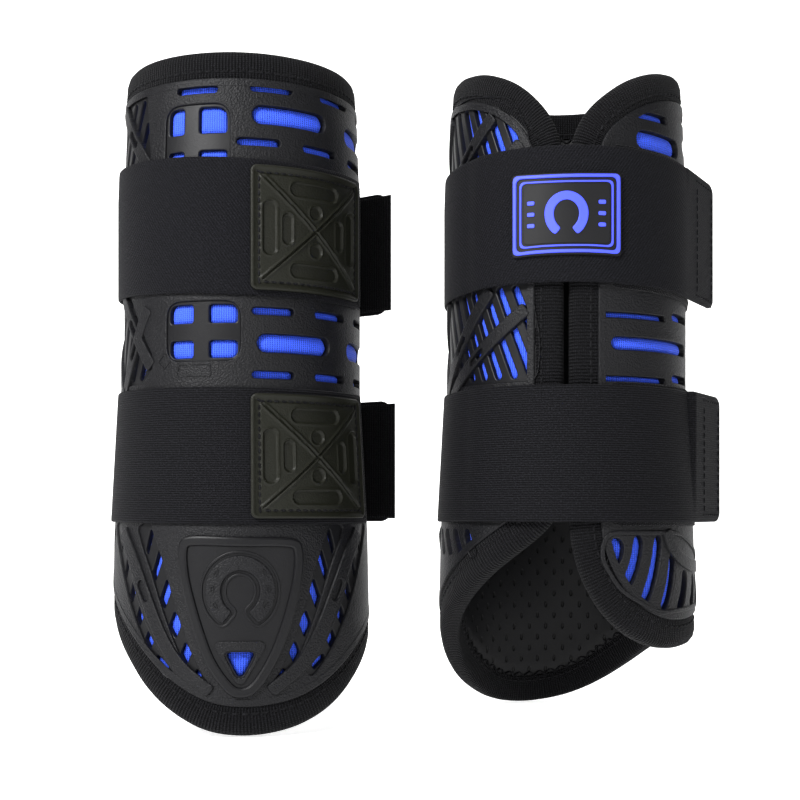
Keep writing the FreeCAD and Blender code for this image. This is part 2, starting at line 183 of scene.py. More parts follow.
def resample(loop: Loop, step: float, closed: bool = True) -> Loop:
    """Space a polyline's points evenly.

    Args:
        loop: the polyline.
        step: wanted distance between points.
        closed: whether the last point joins the first.

    Returns:
        The evenly spaced polyline.
    """
    line = np.vstack((loop, loop[:1])) if closed else loop
    gaps = np.hypot(*np.diff(line, axis=0).T)
    along = np.concatenate(([0.0], np.cumsum(gaps)))
    count = max(3, int(round(along[-1] / step)))
    spots = np.linspace(0.0, along[-1], count + 1)
    if closed:
        spots = spots[:-1]
    return np.column_stack([np.interp(spots, along, line[:, k])
                            for k in range(line.shape[1])])


def curve_through(points: Loop, per_span: int = 10) -> Loop:
    """Run a smooth open curve through points.

    Args:
        points: the points.
        per_span: samples between two neighbours.

    Returns:
        The sampled curve.
    """
    padded = np.vstack((2 * points[0] - points[1], points,
                        2 * points[-1] - points[-2]))
    t = np.linspace(0.0, 1.0, per_span, endpoint=False)[:, None]
    spans = []
    for a, b, c, d in zip(padded, padded[1:], padded[2:], padded[3:]):
        spans.append(0.5 * (2 * b + (c - a) * t + (2 * a - 5 * b + 4 * c - d) * t ** 2
                            + (3 * b - a - 3 * c + d) * t ** 3))
    spans.append(points[-1:])
    return np.vstack(spans)


def soften(loop: Loop, rounds: int, closed: bool = True) -> Loop:
    """Smooth a loop by averaging neighbours.

    Args:
        loop: the loop.
        rounds: how many times to average.
        closed: whether the ends are joined.

    Returns:
        The smoothed loop.
    """
    out = loop.copy()
    for _ in range(rounds):
        mean = (np.roll(out, 1, 0) + 2 * out + np.roll(out, -1, 0)) / 4
        if not closed:
            mean[0], mean[-1] = out[0], out[-1]
        out = mean
    return out


def signed_area(loop: Loop) -> float:
    """Measure a loop's area, positive when it runs anticlockwise.

    Args:
        loop: the loop.

    Returns:
        The signed area.
    """
    x, y = loop[:, 0], loop[:, 1]
    return 0.5 * float(np.sum(x * np.roll(y, -1) - np.roll(x, -1) * y))


def inward(loop: Loop) -> Loop:
    """Give the unit normals on the left of a closed loop.

    Args:
        loop: the loop.

    Returns:
        One normal per point.
    """
    way = np.roll(loop, -1, 0) - np.roll(loop, 1, 0)
    way /= np.maximum(np.hypot(way[:, 0], way[:, 1]), 1e-9)[:, None]
    return np.column_stack((-way[:, 1], way[:, 0]))


def inset(loop: Loop, depth: float) -> Loop:
    """Move a loop towards its inside, or outwards for a negative depth.

    Args:
        loop: the loop.
        depth: the distance in millimetres.

    Returns:
        The moved loop.
    """
    turned = loop if signed_area(loop) > 0 else loop[::-1]
    return turned + inward(turned) * depth


def inside(points: Loop, loop: Loop) -> np.ndarray:
    """Test which points lie inside a loop.

    Args:
        points: points to test.
        loop: the loop.

    Returns:
        One truth value per point.
    """
    x, y = points[:, 0][:, None], points[:, 1][:, None]
    a, b = loop, np.roll(loop, -1, 0)
    cross = (a[:, 1] > y) != (b[:, 1] > y)
    rise = b[:, 1] - a[:, 1]
    rise = np.where(np.abs(rise) < 1e-12, 1e-12, rise)
    at = a[:, 0] + (y - a[:, 1]) * (b[:, 0] - a[:, 0]) / rise
    return (np.sum(cross & (x < at), axis=1) % 2).astype(bool)


def distance_to(points: Loop, loop: Loop) -> np.ndarray:
    """Measure how far points are from a loop's line.

    Args:
        points: points to measure.
        loop: the closed loop.

    Returns:
        One distance per point.
    """
    a, b = loop, np.roll(loop, -1, 0)
    span = b - a
    size = np.maximum(np.sum(span ** 2, axis=1), 1e-12)
    rel = points[:, None, :] - a[None, :, :]
    t = np.clip(np.sum(rel * span, axis=2) / size, 0.0, 1.0)
    near = rel - t[:, :, None] * span
    return np.sqrt(np.min(np.sum(near ** 2, axis=2), axis=1))


def in_blocks(measure: Callable[[Loop, Loop], np.ndarray], points: Loop,
              loop: Loop) -> np.ndarray:
    """Measure many points against a loop, a few hundred at a time.

    Args:
        measure: what to work out for points and a loop.
        points: the points.
        loop: the loop.

    Returns:
        One result per point.
    """
    blocks = np.array_split(points, max(1, len(points) // 400))
    return np.concatenate([measure(block, loop) for block in blocks])


def ways_along(line: Loop) -> Loop:
    """Give the unit step from each point of a closed line to the next.

    Args:
        line: the line.

    Returns:
        One unit direction per point.
    """
    way = np.roll(line, -1, 0) - line
    return way / np.hypot(way[:, 0], way[:, 1])[:, None]


def rounded(corners: Sequence[Tuple[float, float]], radius: object,
            step: float = 0.7) -> Loop:
    """Round the corners of a polygon.

    Args:
        corners: flat corner points.
        radius: distance cut from each corner in millimetres, or one for each.
        step: spacing of the result.

    Returns:
        The rounded loop.
    """
    points = np.array(corners, dtype=float)
    out = []
    radii = np.broadcast_to(radius, len(points))
    for before, here, after, size in zip(np.roll(points, 1, 0), points,
                                         np.roll(points, -1, 0), radii):
        back, on = before - here, after - here
        lb, lo = np.hypot(*back), np.hypot(*on)
        cut = min(size, 0.48 * lb, 0.48 * lo)
        p, q = here + back / lb * cut, here + on / lo * cut
        t = np.linspace(0.0, 1.0, 7)[:, None]
        out.append((1 - t) ** 2 * p + 2 * t * (1 - t) * here + t ** 2 * q)
    return resample(np.vstack(out), step)


def slot_loop(angle: float, height: float, long: float, wide: float,
              tilt: float = 0.0, step: float = 0.6) -> Loop:
    """Draw a slot with round ends.

    Args:
        angle: degrees of its middle.
        height: height of its middle.
        long: overall length.
        wide: width.
        tilt: turn from level, in degrees.
        step: spacing of the points.

    Returns:
        The slot's loop.
    """
    half, r = max(long / 2 - wide / 2, 0.0), wide / 2
    turn = np.radians(np.linspace(-90.0, 90.0, 9))
    right = np.column_stack((half + r * np.cos(turn), r * np.sin(turn)))
    loop = np.vstack((right, -right))
    c, s = math.cos(math.radians(tilt)), math.sin(math.radians(tilt))
    loop = loop @ np.array(((c, s), (-s, c)))
    return resample(loop + (flat(angle), height), step)


def slot_between(foot: np.ndarray, head: np.ndarray, wide: float,
                 long: Optional[float] = None, step: float = 0.7) -> Loop:
    """Draw a slot with round ends that lies between two flat points.

    Args:
        foot: one end.
        head: the other end.
        wide: width.
        long: overall length, or nothing to fill the whole stretch.
        step: spacing of the points.

    Returns:
        The slot's loop.
    """
    middle, way = (foot + head) / 2, head - foot
    return slot_loop(angle_at(middle[0]), middle[1],
                     float(np.hypot(*way)) if long is None else long, wide,
                     math.degrees(math.atan2(way[1], way[0])), step)


def block_loop(centre: Tuple[float, float], wide: float, tall: float,
               corner: float, step: float = 0.6) -> Loop:
    """Draw a rectangle with rounded corners on the flat wall.

    Args:
        centre: flat middle point.
        wide: width.
        tall: height.
        corner: corner cut.
        step: spacing of the points.

    Returns:
        The rectangle's loop.
    """
    x, z = centre
    w, t = wide / 2, tall / 2
    return rounded(((x - w, z - t), (x + w, z - t), (x + w, z + t), (x - w, z + t)),
                   corner, step)


def ribbon(line: Loop, wide: float, step: float = 0.8,
           end_wide: Optional[float] = None) -> Loop:
    """Draw the outline of a bar along a line.

    Args:
        line: the bar's middle line.
        wide: its width where the line starts.
        step: spacing of the points.
        end_wide: its width where the line ends, if that differs.

    Returns:
        The bar's closed outline.
    """
    line = resample(line, step, closed=False)
    way = np.gradient(line, axis=0)
    way /= np.hypot(way[:, 0], way[:, 1])[:, None]
    half = np.linspace(wide, wide if end_wide is None else end_wide, len(line)) / 2
    side = np.column_stack((-way[:, 1], way[:, 0])) * half[:, None]
    return np.vstack((line + side, (line - side)[::-1]))


def clip_line(line: Loop, region: Loop) -> List[Loop]:
    """Keep the stretches of a line that lie inside a region.

    Args:
        line: the line, densely sampled.
        region: the closed region.

    Returns:
        The stretches, each an open polyline.
    """
    keep = inside(line, region)
    runs, run = [], []
    for point, good in zip(line, keep):
        if good:
            run.append(point)
        elif run:
            runs.append(np.array(run))
            run = []
    if run:
        runs.append(np.array(run))
    return [r for r in runs if len(r) > 2]


def rim_of(grid: np.ndarray) -> np.ndarray:
    """Walk once round the border of a grid.

    Args:
        grid: array of rows by columns, with any further axes.

    Returns:
        The border's entries in order.
    """
    return np.concatenate((grid[0], grid[1:, -1], grid[-1, -2::-1], grid[-2:0:-1, 0]))


def unit(angle: float) -> np.ndarray:
    """Give a level unit direction.

    Args:
        angle: degrees from the X axis.

    Returns:
        The direction.
    """
    turn = math.radians(angle)
    return np.array((math.cos(turn), math.sin(turn), 0.0))


# --- meshes -------------------------------------------------------------------------

@dataclass
class Draft:
    """A mesh in the making, in millimetres in a boot's own upright frame."""

    chunks: List[tuple] = field(default_factory=list)

    def add(self, points: np.ndarray, faces: np.ndarray, chart_at: np.ndarray,
            finish: int = 0) -> None:
        """Add some geometry.

        Args:
            points: positions.
            faces: triangles or quads.
            chart_at: flat position of each point, for the weave and grain.
            finish: index of the material.
        """
        if len(faces):
            self.chunks.append((points, np.asarray(faces), chart_at, finish))

    def grid(self, points: np.ndarray, chart_at: np.ndarray, wrap_u: bool = False,
             wrap_v: bool = False, finish: int = 0) -> None:
        """Add a grid of quads.

        Args:
            points: array of rows by columns by 3.
            chart_at: array of rows by columns by 2.
            wrap_u: join the last row to the first.
            wrap_v: join the last column to the first.
            finish: index of the material.
        """
        rows, cols = points.shape[:2]
        ids = np.arange(rows * cols).reshape(rows, cols)
        a = ids if wrap_u else ids[:-1]
        b = np.roll(ids, -1, 0) if wrap_u else ids[1:]
        if wrap_v:
            quads = np.stack((a, b, np.roll(b, -1, 1), np.roll(a, -1, 1)), axis=2)
        else:
            quads = np.stack((a[:, :-1], b[:, :-1], b[:, 1:], a[:, 1:]), axis=2)
        self.add(points.reshape(-1, 3), quads.reshape(-1, 4),
                 chart_at.reshape(-1, 2), finish)


def drop_in_holes(points: Loop, keep: np.ndarray, holes: Sequence[Loop],
                  reach: float = 0.0) -> None:
    """Stop keeping the points that lie in a hole or close to it.

    Args:
        points: the points.
        keep: one truth value per point, changed in place.
        holes: the holes.
        reach: twice the least distance from a hole.
    """
    for hole in holes:
        near = np.all((points > hole.min(0) - reach) & (points < hole.max(0) + reach), axis=1)
        spots = np.nonzero(near & keep)[0]
        if len(spots):
            bad = inside(points[spots], hole)
            if reach:
                bad |= distance_to(points[spots], hole) < reach * 0.5
            keep[spots[bad]] = False


def triangulate(loops: Sequence[Loop], cell: float) -> Tuple[Loop, np.ndarray]:
    """Fill a region with triangles.

    Args:
        loops: the outer loop, then the holes.
        cell: spacing of the inner points.

    Returns:
        The flat points and the triangles.
    """
    outer, holes = loops[0], loops[1:]
    low, high = outer.min(0), outer.max(0)
    xs = np.arange(low[0] + cell / 2, high[0], cell)
    zs = np.arange(low[1] + cell / 2, high[1], cell * 0.87)
    gx, gz = np.meshgrid(xs, zs)
    gx = gx + (np.arange(len(zs)) % 2)[:, None] * cell / 2
    seeds = np.column_stack((gx.ravel(), gz.ravel()))
    keep = inside(seeds, outer)
    drop_in_holes(seeds, keep, holes, cell)
    seeds = seeds[keep]
    seeds = seeds[in_blocks(distance_to, seeds, outer) >= cell * 0.5]
    edges, base = [], 0
    for loop in loops:
        count = len(loop)
        edges += [(base + i, base + (i + 1) % count) for i in range(count)]
        base += count
    verts = [Vector(p) for p in np.vstack((*loops, seeds))]
    out, _, faces, _, _, _ = delaunay_2d_cdt(verts, edges, [], 0, 1e-5)
    points = np.array([(v.x, v.y) for v in out])
    tris = np.array([f for f in faces if len(f) == 3], dtype=int)
    middles = points[tris].mean(axis=1)
    good = in_blocks(inside, middles, outer)
    drop_in_holes(middles, good, holes)
    return points, tris[good]


@dataclass(frozen=True)
class Plate:
    """A sheet of even thickness with holes and rounded edges.

    Attributes:
        outline: outer loop.
        holes: loops of the holes.
        low: level of its underside.
        high: level of its top.
        bevel: size of the rounded edge.
        cell: spacing of the inner points.
        finish: index of the material.
    """

    outline: Loop
    holes: Tuple[Loop, ...]
    low: float
    high: float
    bevel: float
    cell: float = 3.0
    finish: int = 0

    def into(self, draft: Draft) -> None:
        """Add the plate to a draft.

        Args:
            draft: the mesh to add to.
        """
        tops = []
        for k, loop in enumerate((self.outline, *self.holes)):
            if (signed_area(loop) > 0) != (k == 0):
                loop = loop[::-1]
            n = inward(loop)
            top = loop + n * self.bevel
            tops.append(top)
            rings = ((top, self.high),
                     (loop + n * self.bevel * 0.3, self.high - self.bevel * 0.3),
                     (loop, self.high - self.bevel), (loop, self.low))
            points = np.stack([wrap(ring, level) for ring, level in rings], axis=1)
            charts = np.stack([ring for ring, _ in rings], axis=1)
            charts[:, 3, 1] -= 0.8
            draft.grid(points, charts, wrap_u=True, finish=self.finish)
        points, tris = triangulate(tops, self.cell)
        draft.add(wrap(points, self.high), tris[:, ::-1], points, self.finish)


def pillow(draft: Draft, loop: Loop, base: float, rise: float, reach: float,
           cell: float = 1.1, finish: int = 0) -> None:
    """Add a patch of cloth that swells through an opening.

    Args:
        draft: the mesh to add to.
        loop: the opening.
        base: level of the cloth at the opening's edge.
        rise: how far it swells.
        reach: distance from the edge at which it is fully swollen.
        cell: spacing of the points.
        finish: index of the material.
    """
    wide = inset(loop, -0.7)
    points, tris = triangulate([resample(wide, cell)], cell)
    t = np.clip(in_blocks(distance_to, points, wide) / reach, 0.0, 1.0)
    level = base + rise * np.sqrt(1.0 - (1.0 - t) ** 2)
    draft.add(wrap(points, level), tris[:, ::-1], points, finish)


def beads(draft: Draft, middles: np.ndarray, ways: np.ndarray, ups: np.ndarray,
          long: float, thick: float) -> None:
    """Add short stitches as small capsules, in a draft's second material.

    Args:
        draft: the mesh to add to.
        middles: middle of each stitch.
        ways: unit direction of each stitch.
        ups: unit direction off the surface.
        long: stitch length.
        thick: thread diameter.
    """
    sides = np.cross(ways, ups)
    stations = ((-0.5, 0.15), (-0.42, 0.75), (-0.2, 1.0), (0.2, 1.0), (0.42, 0.75),
                (0.5, 0.15))
    turn = np.radians(np.arange(0, 360, 60))
    rings = []
    for at, size in stations:
        dip = -0.35 * thick * (1.0 - size)
        rings.append(middles[:, None] + ways[:, None] * at * long + ups[:, None] * dip
                     + sides[:, None] * (np.cos(turn) * thick / 2 * size)[None, :, None]
                     + ups[:, None] * (np.sin(turn) * thick / 2 * size)[None, :, None])
    points = np.stack(rings, axis=1)
    rows, cols = len(stations), len(turn)
    ids = np.arange(rows * cols).reshape(rows, cols)
    quads = np.stack((ids[:-1], ids[1:], np.roll(ids[1:], -1, 1),
                      np.roll(ids[:-1], -1, 1)), axis=2).reshape(-1, 4)
    starts = np.arange(len(middles)) * rows * cols
    faces = (quads[None] + starts[:, None, None]).reshape(-1, 4)
    flat_points = points.reshape(-1, 3)
    draft.add(flat_points, faces, flat_points[:, :2], 1)


def stitch(draft: Draft, spots: Loop, ways: Loop, level: float, long: float,
           thick: float, outward: bool = True) -> None:
    """Add stitches given on the flat wall.

    Args:
        draft: the mesh to add to.
        spots: flat middles.
        ways: flat unit directions.
        level: how far off the lining they lie.
        long: stitch length.
        thick: thread diameter.
        outward: whether they lie on the outer side.
    """
    here = wrap(spots, level)
    way = wrap(spots + ways * 0.2, level) - here
    way /= np.linalg.norm(way, axis=1)[:, None]
    up = wrap(spots, level + 1.0) - here
    up /= np.linalg.norm(up, axis=1)[:, None]
    beads(draft, here, way, up if outward else -up, long, thick)


# --- finishes -----------------------------------------------------------------------

class Graph:
    """A small helper that wires up one material's nodes."""

    def __init__(self, name: str) -> None:
        """Start a material.

        Args:
            name: the material's name.
        """
        self.material = bpy.data.materials.new(name)
        self.material.use_nodes = True
        self.tree = self.material.node_tree
        self.shader = self.tree.nodes["Principled BSDF"]
        chart_node = self.tree.nodes.new("ShaderNodeUVMap")
        chart_node.uv_map = "Pattern"
        self.chart = chart_node.outputs[0]

    def node(self, kind: str, inputs: Sequence = (), **settings: object) -> bpy.types.Node:
        """Add a node.

        Args:
            kind: the node's type name.
            inputs: pairs of input name or index and value or socket.
            settings: attributes to set on the node.

        Returns:
            The new node.
        """
        made = self.tree.nodes.new(kind)
        for key, value in settings.items():
            setattr(made, key, value)
        for key, value in inputs:
            socket = made.inputs[key]
            if isinstance(value, bpy.types.NodeSocket):
                self.tree.links.new(value, socket)
            else:
                socket.default_value = value
        return made

    def math(self, kind: str, a: object, b: object = 0.0) -> bpy.types.NodeSocket:
        """Add a maths node.

        Args:
            kind: the operation.
            a: first value or socket.
            b: second value or socket.

        Returns:
            Its output socket.
        """
        return self.node("ShaderNodeMath", ((0, a), (1, b)), operation=kind).outputs[0]

    def noise(self, scale: float, detail: float = 2.0) -> bpy.types.NodeSocket:
        """Add noise.

        Args:
            scale: cells per millimetre.
            detail: levels of detail.

        Returns:
            The noise socket.
        """
        return self.node("ShaderNodeTexNoise", (
            ("Vector", self.chart), ("Scale", scale), ("Detail", detail))).outputs[0]

    def wave(self, pitch: float, turn: float = 0.0) -> bpy.types.NodeSocket:
        """Add parallel ribs.

        Args:
            pitch: millimetres from rib to rib.
            turn: direction in degrees; 0 stacks the ribs along the wall.

        Returns:
            A socket from 0 to 1.
        """
        scaled = self.node("ShaderNodeMapping", (
            ("Vector", self.chart), ("Rotation", (0.0, 0.0, math.radians(turn))),
            ("Scale", (1.0 / pitch, 1.0 / pitch, 1.0)))).outputs[0]
        split = self.node("ShaderNodeSeparateXYZ", ((0, scaled),))
        turned = self.math("SINE", self.math("MULTIPLY", split.outputs[0], math.tau))
        return self.math("MULTIPLY", self.math("ADD", turned, 1.0), 0.5)

    def shades(self, tint: Tuple[float, float, float], low: float, high: float,
               factor: object) -> bpy.types.NodeSocket:
        """Mix a dark and a light shade of one colour.

        Args:
            tint: the colour.
            low: how much of it is left at 0.
            high: how much of it there is at 1.
            factor: mixing socket.

        Returns:
            The colour socket.
        """
        ends = [tuple(c * share for c in tint) + (1.0,) for share in (low, high)]
        return self.node("ShaderNodeMix", ((0, factor), (6, ends[0]), (7, ends[1])),
                         data_type="RGBA").outputs[2]

    def bump(self, heights: Sequence[Tuple[object, float]]) -> None:
        """Stack bump maps on the shader.

        Args:
            heights: pairs of a height socket and its depth in millimetres.
        """
        last = None
        for socket, depth in heights:
            inputs = [("Height", socket), ("Strength", 1.0), ("Distance", depth * 0.001)]
            if last is not None:
                inputs.append(("Normal", last))
            last = self.node("ShaderNodeBump", inputs).outputs[0]
        self.tree.links.new(last, self.shader.inputs["Normal"])

    def base(self, socket: object) -> None:
        """Set the base colour.

        Args:
            socket: the colour socket.
        """
        self.tree.links.new(socket, self.shader.inputs["Base Color"])

    def rough(self, low: float, high: float, factor: object) -> None:
        """Vary the roughness.

        Args:
            low: roughness at 0.
            high: roughness at 1.
            factor: mixing socket.
        """
        spread = self.node("ShaderNodeMapRange", (("Value", factor), ("To Min", low),
                                                  ("To Max", high)))
        self.tree.links.new(spread.outputs[0], self.shader.inputs["Roughness"])


@dataclass(frozen=True)
class Moulded:
    """Moulded rubbery plastic, grained like fine leather or smooth."""

    name: str
    tint: Tuple[float, float, float]
    grain: float = 0.1
    shine: float = 0.5

    def make(self) -> bpy.types.Material:
        """Build the material.

        Returns:
            The material.
        """
        g = Graph(self.name)
        cells = g.node("ShaderNodeTexVoronoi", (("Vector", g.chart), ("Scale", 1.6)),
                       feature="SMOOTH_F1").outputs[0]
        fine = g.noise(3.5, 3.0)
        broad = g.noise(0.03, 3.0)
        blotch = g.math("ADD", g.math("MULTIPLY", fine, 0.45), g.math("MULTIPLY", broad, 0.55))
        g.base(g.shades(self.tint, 0.82, 1.25, blotch))
        g.rough(self.shine - 0.07, self.shine + 0.1, broad)
        g.bump(((cells, self.grain), (fine, 0.03 + self.grain * 0.35)))
        g.shader.inputs["Specular IOR Level"].default_value = 0.24
        return g.material


@dataclass(frozen=True)
class Knit:
    """Knitted spacer mesh with small open cells."""

    name: str
    tint: Tuple[float, float, float]
    pitch: float = 0.95

    def make(self) -> bpy.types.Material:
        """Build the material.

        Returns:
            The material.
        """
        g = Graph(self.name)
        across = g.wave(self.pitch)
        up = g.wave(self.pitch * 0.8, 90.0)
        web = g.math("MAXIMUM", g.math("POWER", across, 0.7), g.math("POWER", up, 1.6))
        fuzz = g.noise(4.0, 3.0)
        # painted shade: the colour drops to a quarter between the yarns, standing in for the
        # shadow in the open cells; the fuzz noise varies the tone
        painted_weave_light_and_fibre_noise = g.math("MULTIPLY", web, g.math("ADD", g.math("MULTIPLY", fuzz, 0.5), 0.7))
        g.base(g.shades(self.tint, 0.25, 1.0, painted_weave_light_and_fibre_noise))
        g.rough(0.62, 0.8, fuzz)
        g.bump(((web, 0.22), (fuzz, 0.05)))
        g.shader.inputs["Sheen Weight"].default_value = 0.08
        g.shader.inputs["Sheen Tint"].default_value = (0.45, 0.55, 1.0, 1.0)
        return g.material


@dataclass(frozen=True)
class Woven:
    """Ribbed and woven cloth: tape, elastic or brushed loop."""

    name: str
    tint: Tuple[float, float, float]
    rib: float
    rib_depth: float
    rib_turn: float = 0.0
    twill: float = 0.0
    twill_turn: float = 60.0
    sheen: float = 0.03

    def make(self) -> bpy.types.Material:
        """Build the material.

        Returns:
            The material.
        """
        g = Graph(self.name)
        ribs = g.wave(self.rib, self.rib_turn)
        yarn = g.wave(self.rib * 0.62, self.rib_turn + 90.0)
        woven = g.math("MULTIPLY", ribs, g.math("ADD", g.math("MULTIPLY", yarn, 0.55), 0.45))
        heights = [(woven, self.rib_depth)]
        fuzz = g.noise(1.3, 5.0)
        if self.twill:
            lines = g.wave(self.twill, self.twill_turn)
            heights.append((lines, 0.12))
            woven = g.math("ADD", g.math("MULTIPLY", woven, 0.55),
                           g.math("MULTIPLY", lines, 0.45))
        heights.append((fuzz, 0.16))
        lint = g.math("POWER", g.noise(1.6, 6.0), 6.0)
        # painted highlight and shade: the colour is lighter on the rib tops and twill lines
        # and darker in their valleys; the lint noise adds light speckles
        painted_weave_light_and_fibre_noise = g.math("ADD", g.math("MULTIPLY", woven, 0.8), g.math("MULTIPLY", lint, 9.0))
        g.base(g.shades(self.tint, 0.1, 2.3, painted_weave_light_and_fibre_noise))
        g.rough(0.6, 0.85, fuzz)
        g.bump(heights)
        g.shader.inputs["Sheen Weight"].default_value = self.sheen
        g.shader.inputs["Sheen Roughness"].default_value = 0.45
        g.shader.inputs["Specular IOR Level"].default_value = 0.07
        return g.material


@dataclass(frozen=True)
class Perforated:
    """Neoprene with staggered rows of small slits."""

    name: str
    tint: Tuple[float, float, float]
    pitch: float = 8.2

    def make(self) -> bpy.types.Material:
        """Build the material.

        Returns:
            The material.
        """
        g = Graph(self.name)
        holes = []
        for shift in (0.0, 0.5):
            vector = g.node("ShaderNodeMapping", (
                ("Vector", g.chart), ("Location", (shift, shift, 0.0)),
                ("Scale", (1.0 / self.pitch, 1.0 / (self.pitch * 1.15), 1.0)))).outputs[0]
            cell = g.node("ShaderNodeVectorMath", ((0, vector),),
                          operation="FRACTION").outputs[0]
            split = g.node("ShaderNodeSeparateXYZ", ((0, cell),))
            squares = []
            for k, size in enumerate((self.pitch, self.pitch * 0.62)):
                off = g.math("MULTIPLY", g.math("SUBTRACT", split.outputs[k], 0.5), size)
                squares.append(g.math("MULTIPLY", off, off))
            far = g.math("SQRT", g.math("ADD", *squares))
            holes.append(g.node("ShaderNodeMapRange", (
                ("Value", far), ("From Min", 0.42), ("From Max", 0.75), ("To Min", 1.0),
                ("To Max", 0.0))).outputs[0])
        hole = g.math("MAXIMUM", holes[0], holes[1])
        fine = g.noise(2.5, 4.0)
        cloth = g.shades(self.tint, 0.8, 1.2, fine)
        # painted shade: the slits are filled with near-black colour, standing in for the
        # shadow inside them
        cloth_with_painted_hole_shade = g.node("ShaderNodeMix", (
            (0, hole), (6, cloth), (7, (0.001, 0.001, 0.001, 1.0))),
                       data_type="RGBA").outputs[2]
        g.base(cloth_with_painted_hole_shade)
        g.rough(0.42, 0.55, fine)
        g.bump(((g.math("SUBTRACT", 1.0, hole), 0.5), (fine, 0.05)))
        g.shader.inputs["Specular IOR Level"].default_value = 0.22
        return g.material


@dataclass(frozen=True)
class Finishes:
    """Every material of the boots."""

    shell: bpy.types.Material
    shell_smooth: bpy.types.Material
    mesh: bpy.types.Material
    binding: bpy.types.Material
    thread: bpy.types.Material
    elastic: bpy.types.Material
    elastic_fine: bpy.types.Material
    loop: bpy.types.Material
    hook: bpy.types.Material
    patch: bpy.types.Material
    badge: bpy.types.Material
    badge_blue: bpy.types.Material
    lining: bpy.types.Material

    @classmethod
    def make(cls) -> "Finishes":
        """Build all materials.

        Returns:
            The set of materials.
        """
        return cls(
            shell=Moulded("shell_grained", (0.0062, 0.0062, 0.0074), 0.24, 0.46).make(),
            shell_smooth=Moulded("shell_smooth", (0.0060, 0.0060, 0.0070), 0.03, 0.42).make(),
            mesh=Knit("blue_knit", (0.040, 0.120, 0.92)).make(),
            binding=Woven("binding_weave", (0.0062, 0.0062, 0.0072), 1.25, 0.70).make(),
            thread=Woven("thread", (0.008, 0.008, 0.009), 0.4, 0.05).make(),
            elastic=Woven("elastic_twill", (0.0058, 0.0058, 0.0072), 0.62, 0.10, 90.0, 1.0,
                          35.0).make(),
            elastic_fine=Woven("elastic_ribs", (0.0062, 0.0062, 0.0074), 0.85, 0.14,
                               90.0).make(),
            loop=Woven("brushed_loop", (0.006, 0.006, 0.007), 0.9, 0.2, 20.0, 0.7, 70.0,
                       0.1).make(),
            hook=Woven("hook_field", (0.007, 0.007, 0.008), 1.2, 0.3, 0.0).make(),
            patch=Moulded("patch_rubber", (0.0082, 0.0086, 0.0050), 0.08, 0.46).make(),
            badge=Moulded("badge_black", (0.007, 0.007, 0.008), 0.01, 0.5).make(),
            badge_blue=Moulded("badge_blue", (0.070, 0.095, 0.78), 0.01, 0.45).make(),
            lining=Perforated("perforated_neoprene", (0.0032, 0.0032, 0.0040)).make(),
        )


# --- outlines and tables ------------------------------------------------------------

BOTTOM_EDGE = (
    (-204.8, 80.0), (-203.6, 70.0), (-199.7, 59.0), (-193.5, 49.5), (-186.0, 42.0),
    (-177.0, 36.5), (-166.0, 32.5), (-154.0, 30.8), (-138.0, 31.0), (-120.0, 32.6),
    (-104.0, 33.0), (-90.0, 30.8), (-75.0, 25.5), (-59.0, 17.0), (-45.0, 9.6),
    (-30.0, 3.8), (-15.0, 0.8), (0.0, 0.0), (15.0, 1.8), (30.0, 7.5), (45.0, 16.0),
    (60.0, 26.5), (75.0, 36.0), (90.0, 44.5), (104.0, 52.5), (118.0, 60.5),
    (132.0, 68.0), (142.0, 74.0), (149.5, 81.0), (152.8, 92.0))
TOP_EDGE = (
    (152.8, 214.0), (151.0, 222.5), (146.5, 230.5), (140.0, 237.0), (131.0, 243.3),
    (120.0, 248.2), (105.0, 252.2), (85.0, 254.4), (60.0, 254.9), (10.0, 254.9),
    (-40.0, 254.9), (-90.0, 254.9), (-115.0, 254.6), (-137.0, 253.2), (-157.0, 250.2),
    (-172.0, 246.0), (-183.0, 241.0), (-192.0, 235.6), (-198.5, 229.8), (-203.0, 222.0),
    (-204.8, 214.0))

# level slots of the shell: degrees, height, length, width
LEVEL_SLOTS = (
    (20.6, 239.8, 17.0, 2.8), (-14.6, 240.6, 17.0, 2.8), (-50.6, 240.6, 17.0, 2.8),
    (-86.0, 239.6, 17.0, 2.8), (-121.0, 237.0, 17.0, 2.8), (-161.0, 232.0, 17.0, 2.8),
    (-24.4, 230.6, 32.0, 7.0), (-78.0, 229.6, 32.0, 7.0), (-117.0, 227.4, 22.0, 7.0),
    (-156.0, 222.6, 27.0, 7.0), (-8.3, 220.3, 17.0, 2.8), (-40.0, 219.8, 17.0, 2.8),
    (-71.5, 219.4, 17.0, 2.8), (-103.0, 218.6, 17.0, 2.8), (-134.0, 216.6, 17.0, 2.8),
    (-15.0, 157.5, 16.6, 2.8), (-46.0, 157.5, 16.6, 2.8), (-77.0, 157.5, 16.6, 2.8),
    (-108.0, 157.5, 16.6, 2.8), (-138.0, 157.5, 16.6, 2.8), (-172.4, 156.0, 31.0, 2.0),
    (-26.2, 145.6, 31.6, 7.0), (-78.0, 145.6, 31.6, 7.0), (-113.0, 145.6, 16.0, 7.0),
    (-158.0, 145.6, 46.0, 4.8), (-15.0, 133.8, 16.6, 2.8), (-46.0, 133.8, 16.6, 2.8),
    (-77.0, 133.8, 16.6, 2.8), (-108.0, 133.8, 16.6, 2.8), (-138.0, 133.8, 16.6, 2.8),
    (-172.4, 132.3, 31.0, 2.0))
# windows with a cross: degrees, height, width, height, degrees and height of the cross
CROSS_WINDOWS = ((20.7, 220.5, 24.5, 25.5, 23.2, 220.3),
                 (17.7, 149.9, 27.5, 20.0, 18.2, 149.7))
